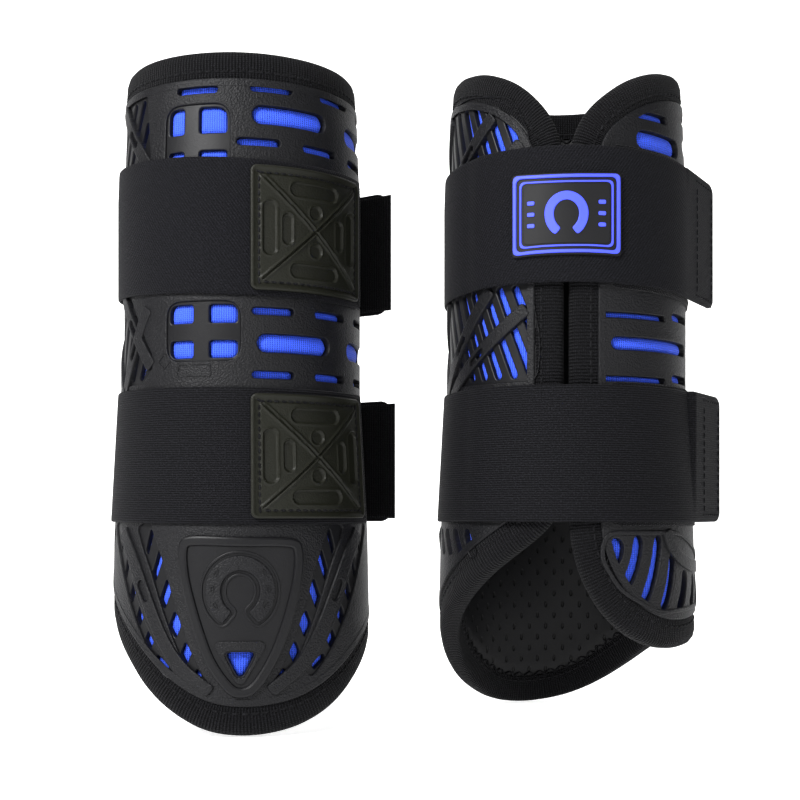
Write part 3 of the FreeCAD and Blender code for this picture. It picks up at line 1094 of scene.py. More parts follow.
# slanted vents beside the shield: degrees, height, long side, short side
FLAP_INNER = ((43.2, 71.5, (-2.6, 8.0), (-1.3, -2.2)), (38.3, 62.8, (-3.4, 9.2), (-1.8, -3.1)),
              (33.6, 52.2, (-3.0, 7.6), (-2.2, -3.9)), (28.6, 41.0, (-2.3, 5.6), (-2.9, -4.8)),
              (23.3, 30.6, (-1.9, 4.4), (-2.4, -4.2)), (18.0, 22.2, (-1.3, 3.0), (-1.9, -2.8)))
FLAP_OUTER = ((66.4, 71.0, (-1.8, 6.0), (-1.6, -2.4)), (60.4, 61.6, (-2.2, 6.4), (-1.8, -2.8)),
              (54.6, 52.4, (-2.3, 5.4), (-2.2, -3.2)), (48.8, 43.6, (-2.1, 4.4), (-2.5, -3.3)),
              (42.4, 34.9, (-2.0, 3.8), (-3.0, -3.5)), (35.0, 26.6, (-1.0, 2.0), (-5.2, -4.0)))
INNER_STRIP = ((46.5, 78.5), (43.2, 71.5), (38.3, 62.8), (33.6, 52.2), (28.6, 41.0),
               (23.3, 30.6), (18.0, 22.2), (14.6, 18.2))
OUTER_STRIP = ((72.0, 79.0), (66.4, 71.0), (60.4, 61.6), (54.6, 52.4), (48.8, 43.6),
               (42.4, 34.9), (35.0, 26.6), (29.6, 22.2))
# slanted vents of the outer lower lobe, foot to head
LOBE_VENTS = (((-187.2, 63.0), (-184.5, 73.0)), ((-181.0, 54.8), (-174.0, 74.0)),
              ((-172.0, 48.5), (-163.0, 74.0)), ((-161.0, 46.0), (-153.6, 67.0)),
              ((-149.5, 45.5), (-143.0, 60.5)), ((-136.0, 46.5), (-130.5, 58.5)),
              ((-122.0, 47.5), (-117.5, 57.5)))
LATTICES = (((46.0, 214.5), (134.0, 214.5), (137.0, 223.0), (128.0, 238.5), (100.0, 243.0),
             (50.0, 243.0)),
            ((42.5, 139.5), (50.0, 131.5), (140.5, 131.5), (142.0, 146.0), (137.0, 169.0),
             (66.0, 169.0)))
SHIELD = ((0.0, 73.6), (22.0, 73.8), (26.2, 69.5), (25.2, 57.5), (19.4, 39.5),
          (13.5, 26.3), (5.5, 16.6), (0.0, 14.6), (-6.5, 16.6), (-14.3, 26.8),
          (-20.8, 40.5), (-26.0, 57.5), (-26.6, 69.0), (-22.0, 73.0))
# nail marks of the horseshoe, on one side
NAILS = ((10.0, 48.5), (11.2, 54.5), (9.6, 60.5))


def outline() -> Loop:
    """Draw the boot's whole outline on the unrolled wall.

    Returns:
        The closed outline.
    """
    loop = np.vstack((curve_through(chart(BOTTOM_EDGE)), curve_through(chart(TOP_EDGE))))
    return soften(resample(loop, 1.4), 6)


def border(depth: float, rounds: int = 4) -> Loop:
    """Draw the outline moved inwards with no folds.

    Args:
        depth: the distance from the boot's edge.
        rounds: how much to smooth it.

    Returns:
        The closed inner outline.
    """
    edge = outline()
    moved = inset(edge, depth)
    sound = distance_to(moved, edge) > depth - 0.08
    return soften(resample(moved[sound], 1.4), rounds)


def strap_middle(angle: np.ndarray, low: bool) -> np.ndarray:
    """Give the height of a strap's middle line.

    Args:
        angle: degrees round the leg.
        low: whether it is the lower strap.

    Returns:
        The height in millimetres.
    """
    height, rise = (104.0, 0.5) if low else (190.5, 2.5)
    return height + rise * np.cos(np.radians(angle - OPENING + 10.0))


# --- the boot -----------------------------------------------------------------------

@dataclass
class Placing:
    """Where one boot stands in the frame.

    Attributes:
        hand: which leg it belongs to.
    """

    hand: Hand

    @property
    def body(self) -> str:
        """Name of the body that the boot's wall rides on."""
        return self.hand.value + "_boot"

    @property
    def prefix(self) -> str:
        """Start of the names of this boot's nodes."""
        return self.body + "_"

    def world(self, points: np.ndarray) -> np.ndarray:
        """Turn a boot's own points into frame points.

        Args:
            points: millimetres in the boot's own upright frame.

        Returns:
            Metres in the frame.
        """
        out = points.copy()
        if self.hand is Hand.LEFT:
            out[:, 1] *= -1.0
        turn = math.radians(BOOT_TURN[self.hand.value])
        c, s = math.cos(turn), math.sin(turn)
        out[:, :2] = out[:, :2] @ np.array(((c, s), (-s, c)))
        out[:, 2] -= ORIGIN_HEIGHT
        if self.hand is Hand.LEFT:
            out[:, 0] += SPACING
        return out / 1000.0

    def fix(self, piece: bpy.types.Object, body: str, slot: Layer, *nodes: str) -> None:
        """Fix a piece on a body and hide the nodes that it stands for.

        Args:
            piece: the piece.
            body: the body's name.
            slot: its material slot; not used.
            nodes: ends of the names of the nodes.
        """
        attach(piece, body)
        if nodes:
            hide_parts(*(self.prefix + node for node in nodes))

    def spot(self, angle: float, height: float, lift: float) -> np.ndarray:
        """Find one point of the frame.

        Args:
            angle: degrees round the leg.
            height: height in millimetres.
            lift: distance off the lining.

        Returns:
            The point in metres.
        """
        return self.world(wrap(chart(((angle, height),)), lift))[0]

    def bake(self, draft: Draft, name: str, finishes: Sequence[bpy.types.Material],
             sharp: float = 42.0) -> bpy.types.Object:
        """Turn a draft into an object of the scene.

        Args:
            draft: the geometry.
            name: end of the object's name.
            finishes: the materials, in the order of the draft's indices.
            sharp: angle in degrees above which an edge stays crisp.

        Returns:
            The object.
        """
        start, points, charts, faces, kinds = 0, [], [], [], []
        for verts, polys, chart_at, finish in draft.chunks:
            points.append(verts)
            charts.append(chart_at)
            turned = polys[:, ::-1] if self.hand is Hand.LEFT else polys
            faces += (turned + start).tolist()
            kinds += [finish] * len(polys)
            start += len(verts)
        mesh = bpy.data.meshes.new(self.prefix + name)
        mesh.from_pydata(self.world(np.vstack(points)).tolist(), [], faces)
        mesh.polygons.foreach_set("material_index", kinds)
        layer = mesh.uv_layers.new(name="Pattern")
        order = np.empty(len(mesh.loops), dtype=np.int32)
        mesh.loops.foreach_get("vertex_index", order)
        layer.data.foreach_set("uv", np.vstack(charts)[order].astype(np.float32).ravel())
        for material in finishes:
            mesh.materials.append(material)
        mesh.shade_smooth()
        mesh.set_sharp_from_angle(angle=math.radians(sharp))
        made = bpy.data.objects.new(self.prefix + name, mesh)
        bpy.context.scene.collection.objects.link(made)
        LOG.info("%s: %d faces", made.name, len(faces))
        return made


@dataclass
class Wall:
    """Lining, spacer mesh, shell and bound edge of one boot."""

    place: Placing
    finish: Finishes

    def lining(self) -> None:
        """Build the perforated lining with its thinned edge."""
        draft = Draft()
        edge = border(EDGE_GAP, 2)
        ring = resample(edge, 2.2)
        points, tris = triangulate([ring], 3.4)
        thin = np.clip((12.2 - in_blocks(distance_to, points, edge)) / 3.0, 0.0, 1.0)
        thinned = 1.25
        level = thinned * thin * thin * (3 - 2 * thin)
        draft.add(wrap(points, level), tris, points)
        draft.add(wrap(points, LINING_TOP), tris[:, ::-1], points)
        rows = np.stack([wrap(ring, h) for h in (thinned, LINING_TOP)], axis=1)
        draft.grid(rows, np.stack((ring, ring), axis=1), wrap_u=True)
        self.zigzag(draft, 11.9, 0.15)
        piece = self.place.bake(draft, "lining", (self.finish.lining, self.finish.thread))
        self.place.fix(piece, self.place.body, Layer.LINING, "inner_lining",
                       "tendon_strike_plate")

    @staticmethod
    def zigzag(draft: Draft, depth: float, level: float) -> None:
        """Sew a zigzag row inside the lining, beside the binding.

        Args:
            draft: the mesh to add to.
            depth: distance of the row from the edge.
            level: height of the thread off the lining's face.
        """
        line = resample(border(depth), 2.6)
        way = ways_along(line)
        side = np.column_stack((-way[:, 1], way[:, 0]))
        flip = np.where(np.arange(len(line)) % 2, 1.0, -1.0)[:, None]
        stitch(draft, line, way * 0.8 + side * flip * 0.6, level, 3.0, 0.8, False)

    def spacer(self, holes: Sequence[Loop]) -> None:
        """Build the spacer mesh, which swells through the vents.

        Args:
            holes: the shell's vents.
        """
        draft = Draft()
        edge = resample(border(EDGE_GAP, 2), 2.4)
        points, tris = triangulate([edge], 4.0)
        draft.add(wrap(points, MESH_TOP), tris[:, ::-1], points)
        rows = np.stack([wrap(edge, h) for h in (MESH_TOP, MESH_LOW)], axis=1)
        draft.grid(rows, np.stack((edge, edge), axis=1), wrap_u=True)
        for hole in holes:
            size = math.sqrt(abs(signed_area(hole)))
            rise = min(2.4, 0.55 + size * 0.14)
            pillow(draft, hole, MESH_TOP, rise, min(4.2, size * 0.45),
                   0.9 if size < 12 else 1.3)
        piece = self.place.bake(draft, "spacer", (self.finish.mesh,))
        self.place.fix(piece, self.place.body, Layer.MESH, "spacer_mesh")

    def binding(self) -> None:
        """Build the folded tape round the edge, with its stitches."""
        draft = Draft()
        depths, levels = np.array((
            (11.0, 0.35), (10.9, 0.1), (10.2, 0.05), (7.0, 0.05), (3.0, 0.05), (1.0, 0.25),
            (0.15, 1.2), (0.0, 3.0), (0.1, 5.0), (0.7, 6.6), (1.9, 7.6), (4.0, 8.15),
            (6.6, 8.2), (8.4, 7.85), (10.2, 7.95), (11.3, 7.6), (11.6, 6.0))).T
        edge = resample(outline(), 1.5)
        step = np.hypot(*(np.roll(edge, -1, 0) - edge).T)
        along = np.concatenate(([0.0], np.cumsum(step)[:-1]))
        run = np.concatenate(([0.0], np.cumsum(np.hypot(np.diff(depths), np.diff(levels)))))
        moved = self.safe_insets(edge, inward(edge), depths)
        rows = [wrap(moved[:, k], level) for k, level in enumerate(levels)]
        charts = [np.column_stack((along, np.full(len(edge), r))) for r in run]
        draft.grid(np.stack(rows + rows[:1], axis=1)[:, ::-1],
                   np.stack(charts + charts[:1], axis=1)[:, ::-1], wrap_u=True)
        for depth, level, outer in ((8.4, 7.95, True), (9.2, 0.0, False)):
            line = resample(border(depth), 3.4)
            stitch(draft, line, ways_along(line), level, 2.6, 0.85, outer)
        piece = self.place.bake(draft, "binding", (self.finish.binding, self.finish.thread),
                                SELVEDGE_SHARP)
        self.place.fix(piece, self.place.body, Layer.BINDING, "edge_binding")

    @staticmethod
    def safe_insets(edge: Loop, normal: Loop, reach: np.ndarray) -> np.ndarray:
        """Move the edge inwards by several depths without crossing itself.

        Args:
            edge: the boot's edge.
            normal: its inward normals.
            reach: the depths.

        Returns:
            Array of edge points by depths by 2.
        """
        out = np.empty((len(edge), len(reach), 2))
        for k, depth in enumerate(reach):
            moved = edge + normal * depth
            if depth > 1.0:
                bad = distance_to(moved, edge) < depth - 0.08
                good = np.nonzero(~bad)[0]
                spots = np.arange(len(edge))
                wide = np.concatenate((good - len(edge), good, good + len(edge)))
                line = np.vstack((moved[good],) * 3)
                moved = np.column_stack([np.interp(spots, wide, line[:, a]) for a in (0, 1)])
            out[:, k] = moved
        return out


@dataclass
class Shell:
    """The moulded shell of one boot, with its vents, bars and shield."""

    wall: Wall
    draft: Draft = field(default_factory=Draft)

    @staticmethod
    def spoke(foot: Tuple[float, float], head: Tuple[float, float], wide: float,
              bow: float = 0.0) -> Loop:
        """Draw a slanted vent between two points.

        Args:
            foot: degrees and height of the low end.
            head: degrees and height of the high end.
            wide: width of the vent.
            bow: how far its middle bends sideways.

        Returns:
            The vent's loop.
        """
        ends = chart((foot, head))
        way = ends[1] - ends[0]
        long = np.hypot(*way)
        way /= long
        side = np.array((-way[1], way[0]))
        t = np.linspace(0.0, 1.0, 13)
        half = wide / 2 * np.clip(np.sqrt(1.0 - (2 * t - 1.0) ** 8), 0.35, 1.0)
        line = (ends[0] + np.outer(t * long, way)
                + np.outer(4 * bow * t * (1 - t), side))
        return resample(np.vstack((line + half[:, None] * side,
                                   (line - half[:, None] * side)[::-1])), 0.7)

    @staticmethod
    def petals(window: Tuple[float, ...], bar: float = 6.4) -> List[Loop]:
        """Cut a window in four with a cross.

        Args:
            window: middle, width, height and the middle of the cross.
            bar: width of the cross's arms.

        Returns:
            The four openings.
        """
        angle, height, wide, tall, cross_angle, cross_height = window
        left, right = flat(angle) - wide / 2, flat(angle) + wide / 2
        low, high = height - tall / 2, height + tall / 2
        a, b = flat(cross_angle) - bar / 2, flat(cross_angle) + bar / 2
        c, d = cross_height - bar / 2, cross_height + bar / 2
        loops = []
        for x0, x1, corner_x in ((left, a, 0), (b, right, 1)):
            for z0, z1, corner_z in ((low, c, 0), (d, high, 1)):
                corners = ((x0, z0), (x1, z0), (x1, z1), (x0, z1))
                far = {(0, 0): 0, (1, 0): 1, (1, 1): 2, (0, 1): 3}[corner_x, corner_z]
                radii = [7.0 if k == far else 1.4 for k in range(4)]
                loops.append(rounded(corners, radii, 0.6))
        return loops

    @staticmethod
    def slanted(vents: tuple, side: int) -> List[Loop]:
        """Draw the slanted vents on one side of the shield.

        Args:
            vents: middles and sides of the vents.
            side: 1 or -1.

        Returns:
            Their loops.
        """
        loops = []
        for angle, height, long, short in vents:
            a, b = np.array(long) / 2, np.array(short) / 2
            corners = np.array((a + b, a - b, -a - b, b - a))
            corners = corners * (side, 1.0) + (flat(side * angle), height)
            loops.append(rounded(corners, 0.9, 0.5))
        return loops

    @staticmethod
    def strips() -> List[Loop]:
        """Draw the sunken strips that hold the slanted vents.

        Returns:
            Their loops.
        """
        loops = []
        for side in (-1, 1):
            for points, wide, thin in ((INNER_STRIP, 7.6, 3.2), (OUTER_STRIP, 6.2, 3.0)):
                line = curve_through(chart([(side * a, z) for a, z in points]))
                loops.append(soften(resample(ribbon(line, wide, 0.8, thin), 0.8), 3))
        return loops

    def level_vents(self) -> List[Loop]:
        """List the openings that go straight through the shell.

        Returns:
            Their loops.
        """
        loops = [slot_loop(*slot) for slot in LEVEL_SLOTS]
        loops.append(self.small_window())
        loops += [self.spoke(foot, head, 4.4, -1.4) for foot, head in LOBE_VENTS]
        loops += [self.spoke((a + 3.5, 66.0), (a - 2.5, 76.0), 3.4, 0.3)
                  for a in range(80, 112, 9)]
        return loops

    @staticmethod
    def small_window() -> Loop:
        """Draw the small window low in the shield.

        Returns:
            Its loop.
        """
        return rounded(((-5.3, 31.3), (-1.0, 22.4), (1.0, 22.4), (5.3, 31.3)), 2.2, 0.5)

    def sunken(self) -> List[Tuple[Loop, List[Loop]]]:
        """List the sunken fields with the openings in each.

        Returns:
            Pairs of a field and its openings.
        """
        fields = []
        strips = self.strips()
        for k, side in enumerate((-1, 1)):
            fields.append((strips[2 * k], self.slanted(FLAP_INNER, side)))
            fields.append((strips[2 * k + 1], self.slanted(FLAP_OUTER, side)))
        for window in CROSS_WINDOWS:
            angle, height, wide, tall = window[:4]
            fields.append((block_loop((flat(angle), height), wide + 2.4, tall + 2.4, 6.5),
                           self.petals(window)))
        for corners, low, high, first, last in (
                (LATTICES[0], 210.0, 240.0, 44, 138), (LATTICES[1], 128.0, 171.0, 46, 150)):
            region = rounded(chart(corners), 5.0, 0.8)
            inner = inset(region, 0.9)
            slits = []
            for a in np.arange(first, last, 8.4):
                lean = (high - low) * 0.42 / 2
                ends = chart(((a, low), (a, high))) + ((lean, 0.0), (-lean, 0.0))
                line = ends[0] + np.linspace(0.0, 1.0, 90)[:, None] * (ends[1] - ends[0])
                for run in clip_line(line, inner):
                    if np.hypot(*(run[-1] - run[0])) > 4.0:
                        slits.append(slot_between(run[0], run[-1], 3.0))
            fields.append((region, slits))
        return fields

    def raised(self, shape: Loop, holes: Sequence[Loop] = (), rise: float = 0.9,
               base: float = SHELL_TOP - 0.15, finish: int = 0, bevel: float = 0.35,
               cell: float = 2.4) -> None:
        """Add a raised area.

        Args:
            shape: its outline.
            holes: openings in it.
            rise: how far it stands above the shell.
            base: level where its walls start.
            finish: index of the material.
            bevel: size of its rounded edge.
            cell: spacing of the points.
        """
        Plate(shape, tuple(holes), base, SHELL_TOP + rise, bevel, cell,
              finish).into(self.draft)

    def bars(self) -> None:
        """Add the raised bars of the flap, the lattice and the lobe."""
        room = border(14.2)
        for side in (-1, 1):
            line = curve_through(chart([(side * a, z) for a, z in (
                (62.0, 75.5), (52.7, 64.8), (44.2, 52.0), (37.9, 41.6), (32.0, 33.0),
                (24.4, 25.0), (12.0, 16.6))]), 24)
            line = clip_line(line, room)[0]
            shape = soften(resample(ribbon(line, 6.4, 0.8, 4.6), 0.8), 2)
            recess = slot_loop(side * 45.0, 53.2, 8.6, 3.4, 90.0 - side * 30.0)
            self.raised(shape, (recess,), 0.9, bevel=0.5)
        lattice = (((45.0, 137.5), (74.0, 168.0)), ((70.0, 130.0), (47.5, 160.0)),
                   ((80.0, 125.0), (141.0, 162.0)), ((117.0, 167.0), (74.0, 128.0)),
                   ((46.0, 212.0), (80.0, 244.0)), ((84.0, 208.0), (128.0, 241.0)),
                   ((114.0, 206.0), (142.0, 228.0)))
        for ends in lattice:
            line = clip_line(resample(chart(ends), 0.3, closed=False), room)[0]
            foot, head = line[0], line[-1]
            shape = resample(ribbon(line[[0, -1]], 5.4), 0.8)
            holes = ()
            if np.hypot(*(head - foot)) > 34.0:
                holes = (slot_between(foot, head, 2.4, 9.0, 0.6),)
            self.raised(soften(shape, 2), holes, 0.5, SHELL_LOW, bevel=0.5)
        lobe = curve_through(chart(((-158.0, 76.0), (-155.0, 70.0), (-147.0, 65.0),
                                    (-134.0, 62.0), (-115.0, 61.0))))
        self.raised(soften(resample(ribbon(lobe, 5.0), 0.8), 2), (), 0.8, bevel=0.5)
        rim = rounded(chart(((-193.0, 66.0), (-184.0, 53.0), (-165.0, 44.0), (-122.0, 45.5),
                             (-110.0, 63.0), (-149.0, 75.8), (-190.0, 76.0))), 5.0)
        self.raised(rim, (inset(rim, 1.7),), 0.6, bevel=0.4)
        plaque = rounded(chart(((13.0, 133.0), (30.5, 133.0), (29.0, 138.0),
                                (13.6, 138.0))), 0.8)
        self.raised(plaque, (inset(plaque, 0.6),), 0.25, bevel=0.15)
        stud = rounded(chart(((33.0, 139.0), (37.0, 135.8), (41.0, 139.0),
                              (37.0, 142.2))), 0.8, 0.5)
        self.raised(stud, (inset(stud, 0.6),), 0.3, bevel=0.15)

    def shield(self) -> None:
        """Add the shield on the flap with its horseshoe."""
        shape = soften(resample(curve_through(chart(SHIELD + SHIELD[:1])), 0.8), 3)
        inner = soften(resample(inset(shape, 3.6), 0.8), 3)
        self.raised(shape, (inner,), 1.7, finish=1, bevel=0.9, cell=1.8)
        small = rounded(chart(((-12.0, 35.4), (0.0, 17.4), (12.0, 35.4))), 4.5, 0.6)
        gap = self.small_window()
        self.raised(resample(inset(inner, -0.6), 0.8), (gap,), 0.7, finish=1, bevel=0.1,
                    cell=2.0)
        self.raised(small, (inset(gap, -0.5),), 1.35, bevel=0.4, cell=1.4)
        shoe = horseshoe((0.0, 54.0), 24.0, 25.5, 5.4)
        self.raised(shoe, (), 1.75, bevel=0.45, cell=1.4)
        self.raised(inset(shoe, -1.9), (inset(shoe, -1.0),), 1.15, finish=1, bevel=0.25)
        for angle, height in NAILS:
            for side in (-1, 1):
                nail = slot_loop(side * angle, height, 2.6, 1.3,
                                 90.0 + side * (height - 54.0) * 4.0, 0.35)
                self.raised(nail, (inset(nail, 0.4),), 2.0, finish=1, bevel=0.12)

    def vents(self) -> List[Loop]:
        """List every opening of the shell.

        Returns:
            Their loops.
        """
        return self.level_vents() + [gap for _, gaps in self.sunken() for gap in gaps]

    def build(self) -> None:
        """Build the shell."""
        fields = self.sunken()
        openings = tuple(self.level_vents()) + tuple(edge for edge, _ in fields)
        Plate(border(11.0), openings, SHELL_LOW, SHELL_TOP, 0.5, 3.0).into(self.draft)
        for edge, gaps in fields:
            Plate(inset(edge, -0.3), tuple(gaps), SHELL_LOW, SHELL_TOP - 0.8, 0.45, 2.4,
                  1).into(self.draft)
        self.raised(border(RIM_DEPTH), (border(RIM_DEPTH + RIM_WIDE),), 0.12, bevel=0.2)
        self.bars()
        self.shield()
        finish = self.wall.finish
        piece = self.wall.place.bake(self.draft, "shell", (finish.shell, finish.shell_smooth))
        self.wall.place.fix(piece, self.wall.place.body, Layer.SHELL, "outer_shell")


def horseshoe(centre: Tuple[float, float], wide: float, tall: float,
              thick: float) -> Loop:
    """Draw a horseshoe that opens downwards.

    Args:
        centre: flat middle.
        wide: overall width.
        tall: overall height.
        thick: width of its arms.

    Returns:
        The closed outline.
    """
    turn = np.radians(np.linspace(-62.0, 242.0, 45))
    x = np.cos(turn) * (wide - thick) / 2
    z = np.sin(turn) * (tall - thick) / 2
    z = np.where(z < 0, z * 1.12, z)
    line = np.column_stack((x + centre[0], z + centre[1]))
    return soften(resample(ribbon(line, thick, 0.7), 0.6), 2)


# --- straps -------------------------------------------------------------------------

@dataclass
class Strap:
    """One elastic strap with its patch, loop panel, hook pad and tab."""

    place: Placing
    finish: Finishes
    low: bool

    @property
    def label(self) -> str:
        """Say which strap it is."""
        return "lower" if self.low else "upper"

    def strap_body(self, end: str) -> str:
        """Name a body of this strap.

        Args:
            end: "strap" or "tab".

        Returns:
            The body's name.
        """
        return f"{self.place.hand.value}_{self.label}_{end}"

    def node(self, name: str) -> str:
        """Name a node of this strap.

        Args:
            name: the end of the node's name.

        Returns:
            The full name.
        """
        return f"{self.place.prefix}{self.label}_{name}"

    def material(self) -> bpy.types.Material:
        """Choose the elastic.

        Returns:
            The material.
        """
        return self.finish.elastic_fine if self.low else self.finish.elastic

    @staticmethod
    def section() -> np.ndarray:
        """Draw the strap's cross-section, which has soft selvedges.

        Returns:
            Pairs of height across and lift, as a closed loop.
        """
        half, r = STRAP_WIDE / 2, BAND_THICK / 2
        across = np.linspace(-half + 1.6, half - 1.6, 15)
        turn = np.radians(np.linspace(-70.0, 70.0, 5))
        nose = np.column_stack((half - r * 0.9 + r * 0.9 * np.cos(turn),
                                r + r * np.sin(turn)))
        top = np.column_stack((across[::-1], np.full(15, BAND_THICK)))
        low = np.column_stack((across, np.zeros(15)))
        left = nose * (-1.0, 1.0)
        return np.vstack((low, nose, top, left[::-1]))

    def band(self, angles: np.ndarray, lifts: Level) -> Tuple[np.ndarray, np.ndarray]:
        """Sweep the strap's section round the leg.

        Args:
            angles: stations in degrees.
            lifts: level of the underside, for all or for each station.

        Returns:
            Points and chart positions, stations by section.
        """
        shape = self.section()
        rows, charts = [], []
        for angle, lift in zip(angles, np.broadcast_to(lifts, angles.shape)):
            z = strap_middle(angle, self.low)
            at = np.column_stack((np.full(len(shape), flat(angle)), z + shape[:, 0]))
            rows.append(wrap(at, lift + shape[:, 1]))
            charts.append(np.column_stack((at[:, 0], shape[:, 0])))
        return np.stack(rows), np.stack(charts)

    def back(self) -> None:
        """Build the half that is sewn down, and the free half up to the badge."""
        draft = Draft()
        points, charts = self.band(np.linspace(STRAP_END, PATCH_ANGLE, 20), BAND_LOW)
        draft.grid(points[:, ::-1], charts[:, ::-1], wrap_v=True)
        middle = strap_middle(-71.0, self.low)
        Plate(block_loop((flat(-70.6), middle), 1.6, STRAP_WIDE - 1.0, 0.5), (), 8.6, 10.2,
              0.3).into(draft)
        rows = np.arange(-23.5, 23.6, 1.05)
        spots = np.column_stack((np.full(len(rows), flat(-68.2)), middle + rows))
        ways = np.tile((0.96, 0.28), (len(rows), 1))
        stitch(draft, spots, ways, 10.25, 5.2, 0.9)
        piece = self.place.bake(draft, self.label + "_strap_end",
                                (self.material(), self.finish.thread), SELVEDGE_SHARP)
        self.place.fix(piece, self.place.body, Layer.ELASTIC)

        draft = Draft()
        angles = np.linspace(PATCH_ANGLE, STRAP_SPLIT, 103)
        step = np.clip((angles - 103.0) / 12.0, 0.0, 1.0)
        points, charts = self.band(angles, BAND_LOW + BAND_STEP * step * step * (3 - 2 * step))
        draft.grid(points[:, ::-1], charts[:, ::-1], wrap_v=True)
        piece = self.place.bake(draft, self.label + "_strap_band", (self.material(),),
                                SELVEDGE_SHARP)
        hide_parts(self.node("strap_back"))
        height = strap_middle(HINGE_ANGLE, self.low)
        tuple(self.place.spot(HINGE_ANGLE - 1.5, height, 10.0))
        tuple(self.place.spot(HINGE_ANGLE + 10.5, height, 10.0))
        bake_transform(piece)

    def front(self) -> None:
        """Build the free half from the badge to the tab's end."""
        draft = Draft()
        points, charts = self.band(np.linspace(STRAP_SPLIT, TAB_ANGLE, 27), TAB_LOW)
        height = strap_middle(TAB_ANGLE, self.low)
        way, radial = unit(-180.0 - TAB_ANGLE), unit(-90.0 - TAB_ANGLE)
        reach = leg_radius(np.array([height - STRAP_WIDE / 2]))[0] + TAB_LOW - 0.05
        shape = self.section()
        rows, tab_charts = [], []
        for along in np.concatenate((np.linspace(1.5, 33.0, 18), (34.2, 35.1, 35.6))):
            ease = max(0.0, (along - 31.0) / 5.0)
            row = radial * reach + way * along + radial * (0.05 + shape[:, 1])[:, None]
            row[:, 2] = height + shape[:, 0] * (1.0 - 0.11 * ease ** 2)
            rows.append(row)
            tab_charts.append(np.column_stack((np.full(len(shape), flat(TAB_ANGLE) + along),
                                               shape[:, 0])))
        middle = rows[-1].mean(0)
        rows.append(middle + (rows[-1] - middle) * (1.0, 1.0, 0.99))
        points = np.concatenate((points, np.stack(rows)))
        charts = np.concatenate((charts, np.stack(tab_charts + tab_charts[-1:])))
        draft.grid(points[:, ::-1], charts[:, ::-1], wrap_v=True)
        fan = np.array([(0, k, k + 1) for k in range(1, len(shape) - 1)])
        draft.add(rows[-1], fan, tab_charts[-1])
        top = radial * (reach + 1.66)
        dashes = np.arange(13.0, 34.0, 3.2)
        for side in (-1, 1):
            mids = top + way * dashes[:, None]
            mids[:, 2] = height + side * 22.6
            self.tab_stitches(draft, mids, way, radial)
        rises = np.arange(-20.0, 20.1, 3.2)
        for along in (13.2, 33.2):
            mids = np.tile(top + way * along, (len(rises), 1))
            mids[:, 2] = height + rises
            self.tab_stitches(draft, mids, np.array((0.0, 0.0, 1.0)), radial)
        piece = self.place.bake(draft, self.label + "_strap_tab",
                                (self.material(), self.finish.thread), SELVEDGE_SHARP)
        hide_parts(self.node("strap_front"), self.node("strap_tab"))
        end = radial * reach + way * 5.5 + np.array((0.0, 0.0, height))
        tuple(self.place.spot(TAB_ANGLE - 0.4, height, 10.6))
        tuple(self.place.world(end[None])[0])
        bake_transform(piece)
        self.hooks(radial, way, reach, height)

    @staticmethod
    def tab_stitches(draft: Draft, middles: np.ndarray, way: np.ndarray,
                     up: np.ndarray) -> None:
        """Sew a straight row on the tab.

        Args:
            draft: the mesh to add to.
            middles: middle of each stitch.
            way: unit direction of the row.
            up: unit direction off the tab.
        """
        tile = (len(middles), 1)
        beads(draft, middles, np.tile(way, tile), np.tile(up, tile), 2.5, 0.75)

    def hooks(self, radial: np.ndarray, way: np.ndarray, reach: float,
              height: float) -> None:
        """Build the hook pad inside the tab.

        Args:
            radial: unit direction off the leg.
            way: unit direction along the tab.
            reach: radius of the tab's underside.
            height: height of its middle.
        """
        draft = Draft()
        rows = np.linspace(-24.1, 24.1, 61)
        cols = np.linspace(12.1, 38.8, 40)
        grid_u, grid_v = np.meshgrid(cols, rows, indexing="ij")
        edge = np.minimum.reduce((grid_u - cols[0], cols[-1] - grid_u, grid_v - rows[0],
                                  rows[-1] - grid_v))
        knobs = 0.22 * (np.arange(61) % 2)[None, :] * (np.arange(40) % 2)[:, None]
        down = np.clip(0.25 + edge * 1.2, 0.25, 0.9) + np.where(edge > 1.0, knobs, 0.0)
        points = radial * reach + way * grid_u[..., None] - radial * down[..., None]
        points[..., 2] = height + grid_v
        draft.grid(points, np.stack((grid_u, grid_v), axis=2))
        rim = rim_of(points)
        ring = np.stack((rim, rim + radial * 0.3), axis=1)
        draft.grid(ring, np.zeros(ring.shape[:2] + (2,)), wrap_u=True)
        piece = self.place.bake(draft, self.label + "_hook_pad", (self.finish.hook,))
        self.place.fix(piece, self.strap_body("tab"), Layer.HOOK, self.label + "_hook_pad")

    def panel(self) -> None:
        """Build the brushed loop panel sewn to the shell."""
        draft = Draft()
        left, right = flat(OPENING + 20.0 - 360.0), flat(-101.0)
        middle = float(strap_middle(-143.0, self.low))
        shape = block_loop(((left + right) / 2, middle), right - left - 0.4, 53.4, 2.5, 1.2)
        shift = (strap_middle(np.degrees(shape[:, 0] / FLAT_RADIUS), self.low) - middle)
        shape = np.column_stack((shape[:, 0], shape[:, 1] + shift))
        Plate(shape, (), PANEL_LOW, PANEL_TOP, 0.3, 2.4).into(draft)
        line = resample(inset(shape, 2.2), 3.2)
        stitch(draft, line, ways_along(line), PANEL_TOP + 0.05, 2.4, 0.7)
        piece = self.place.bake(draft, self.label + "_loop_panel",
                                (self.finish.loop, self.finish.thread))
        self.place.fix(piece, self.place.body, Layer.LOOP, self.label + "_loop_panel")

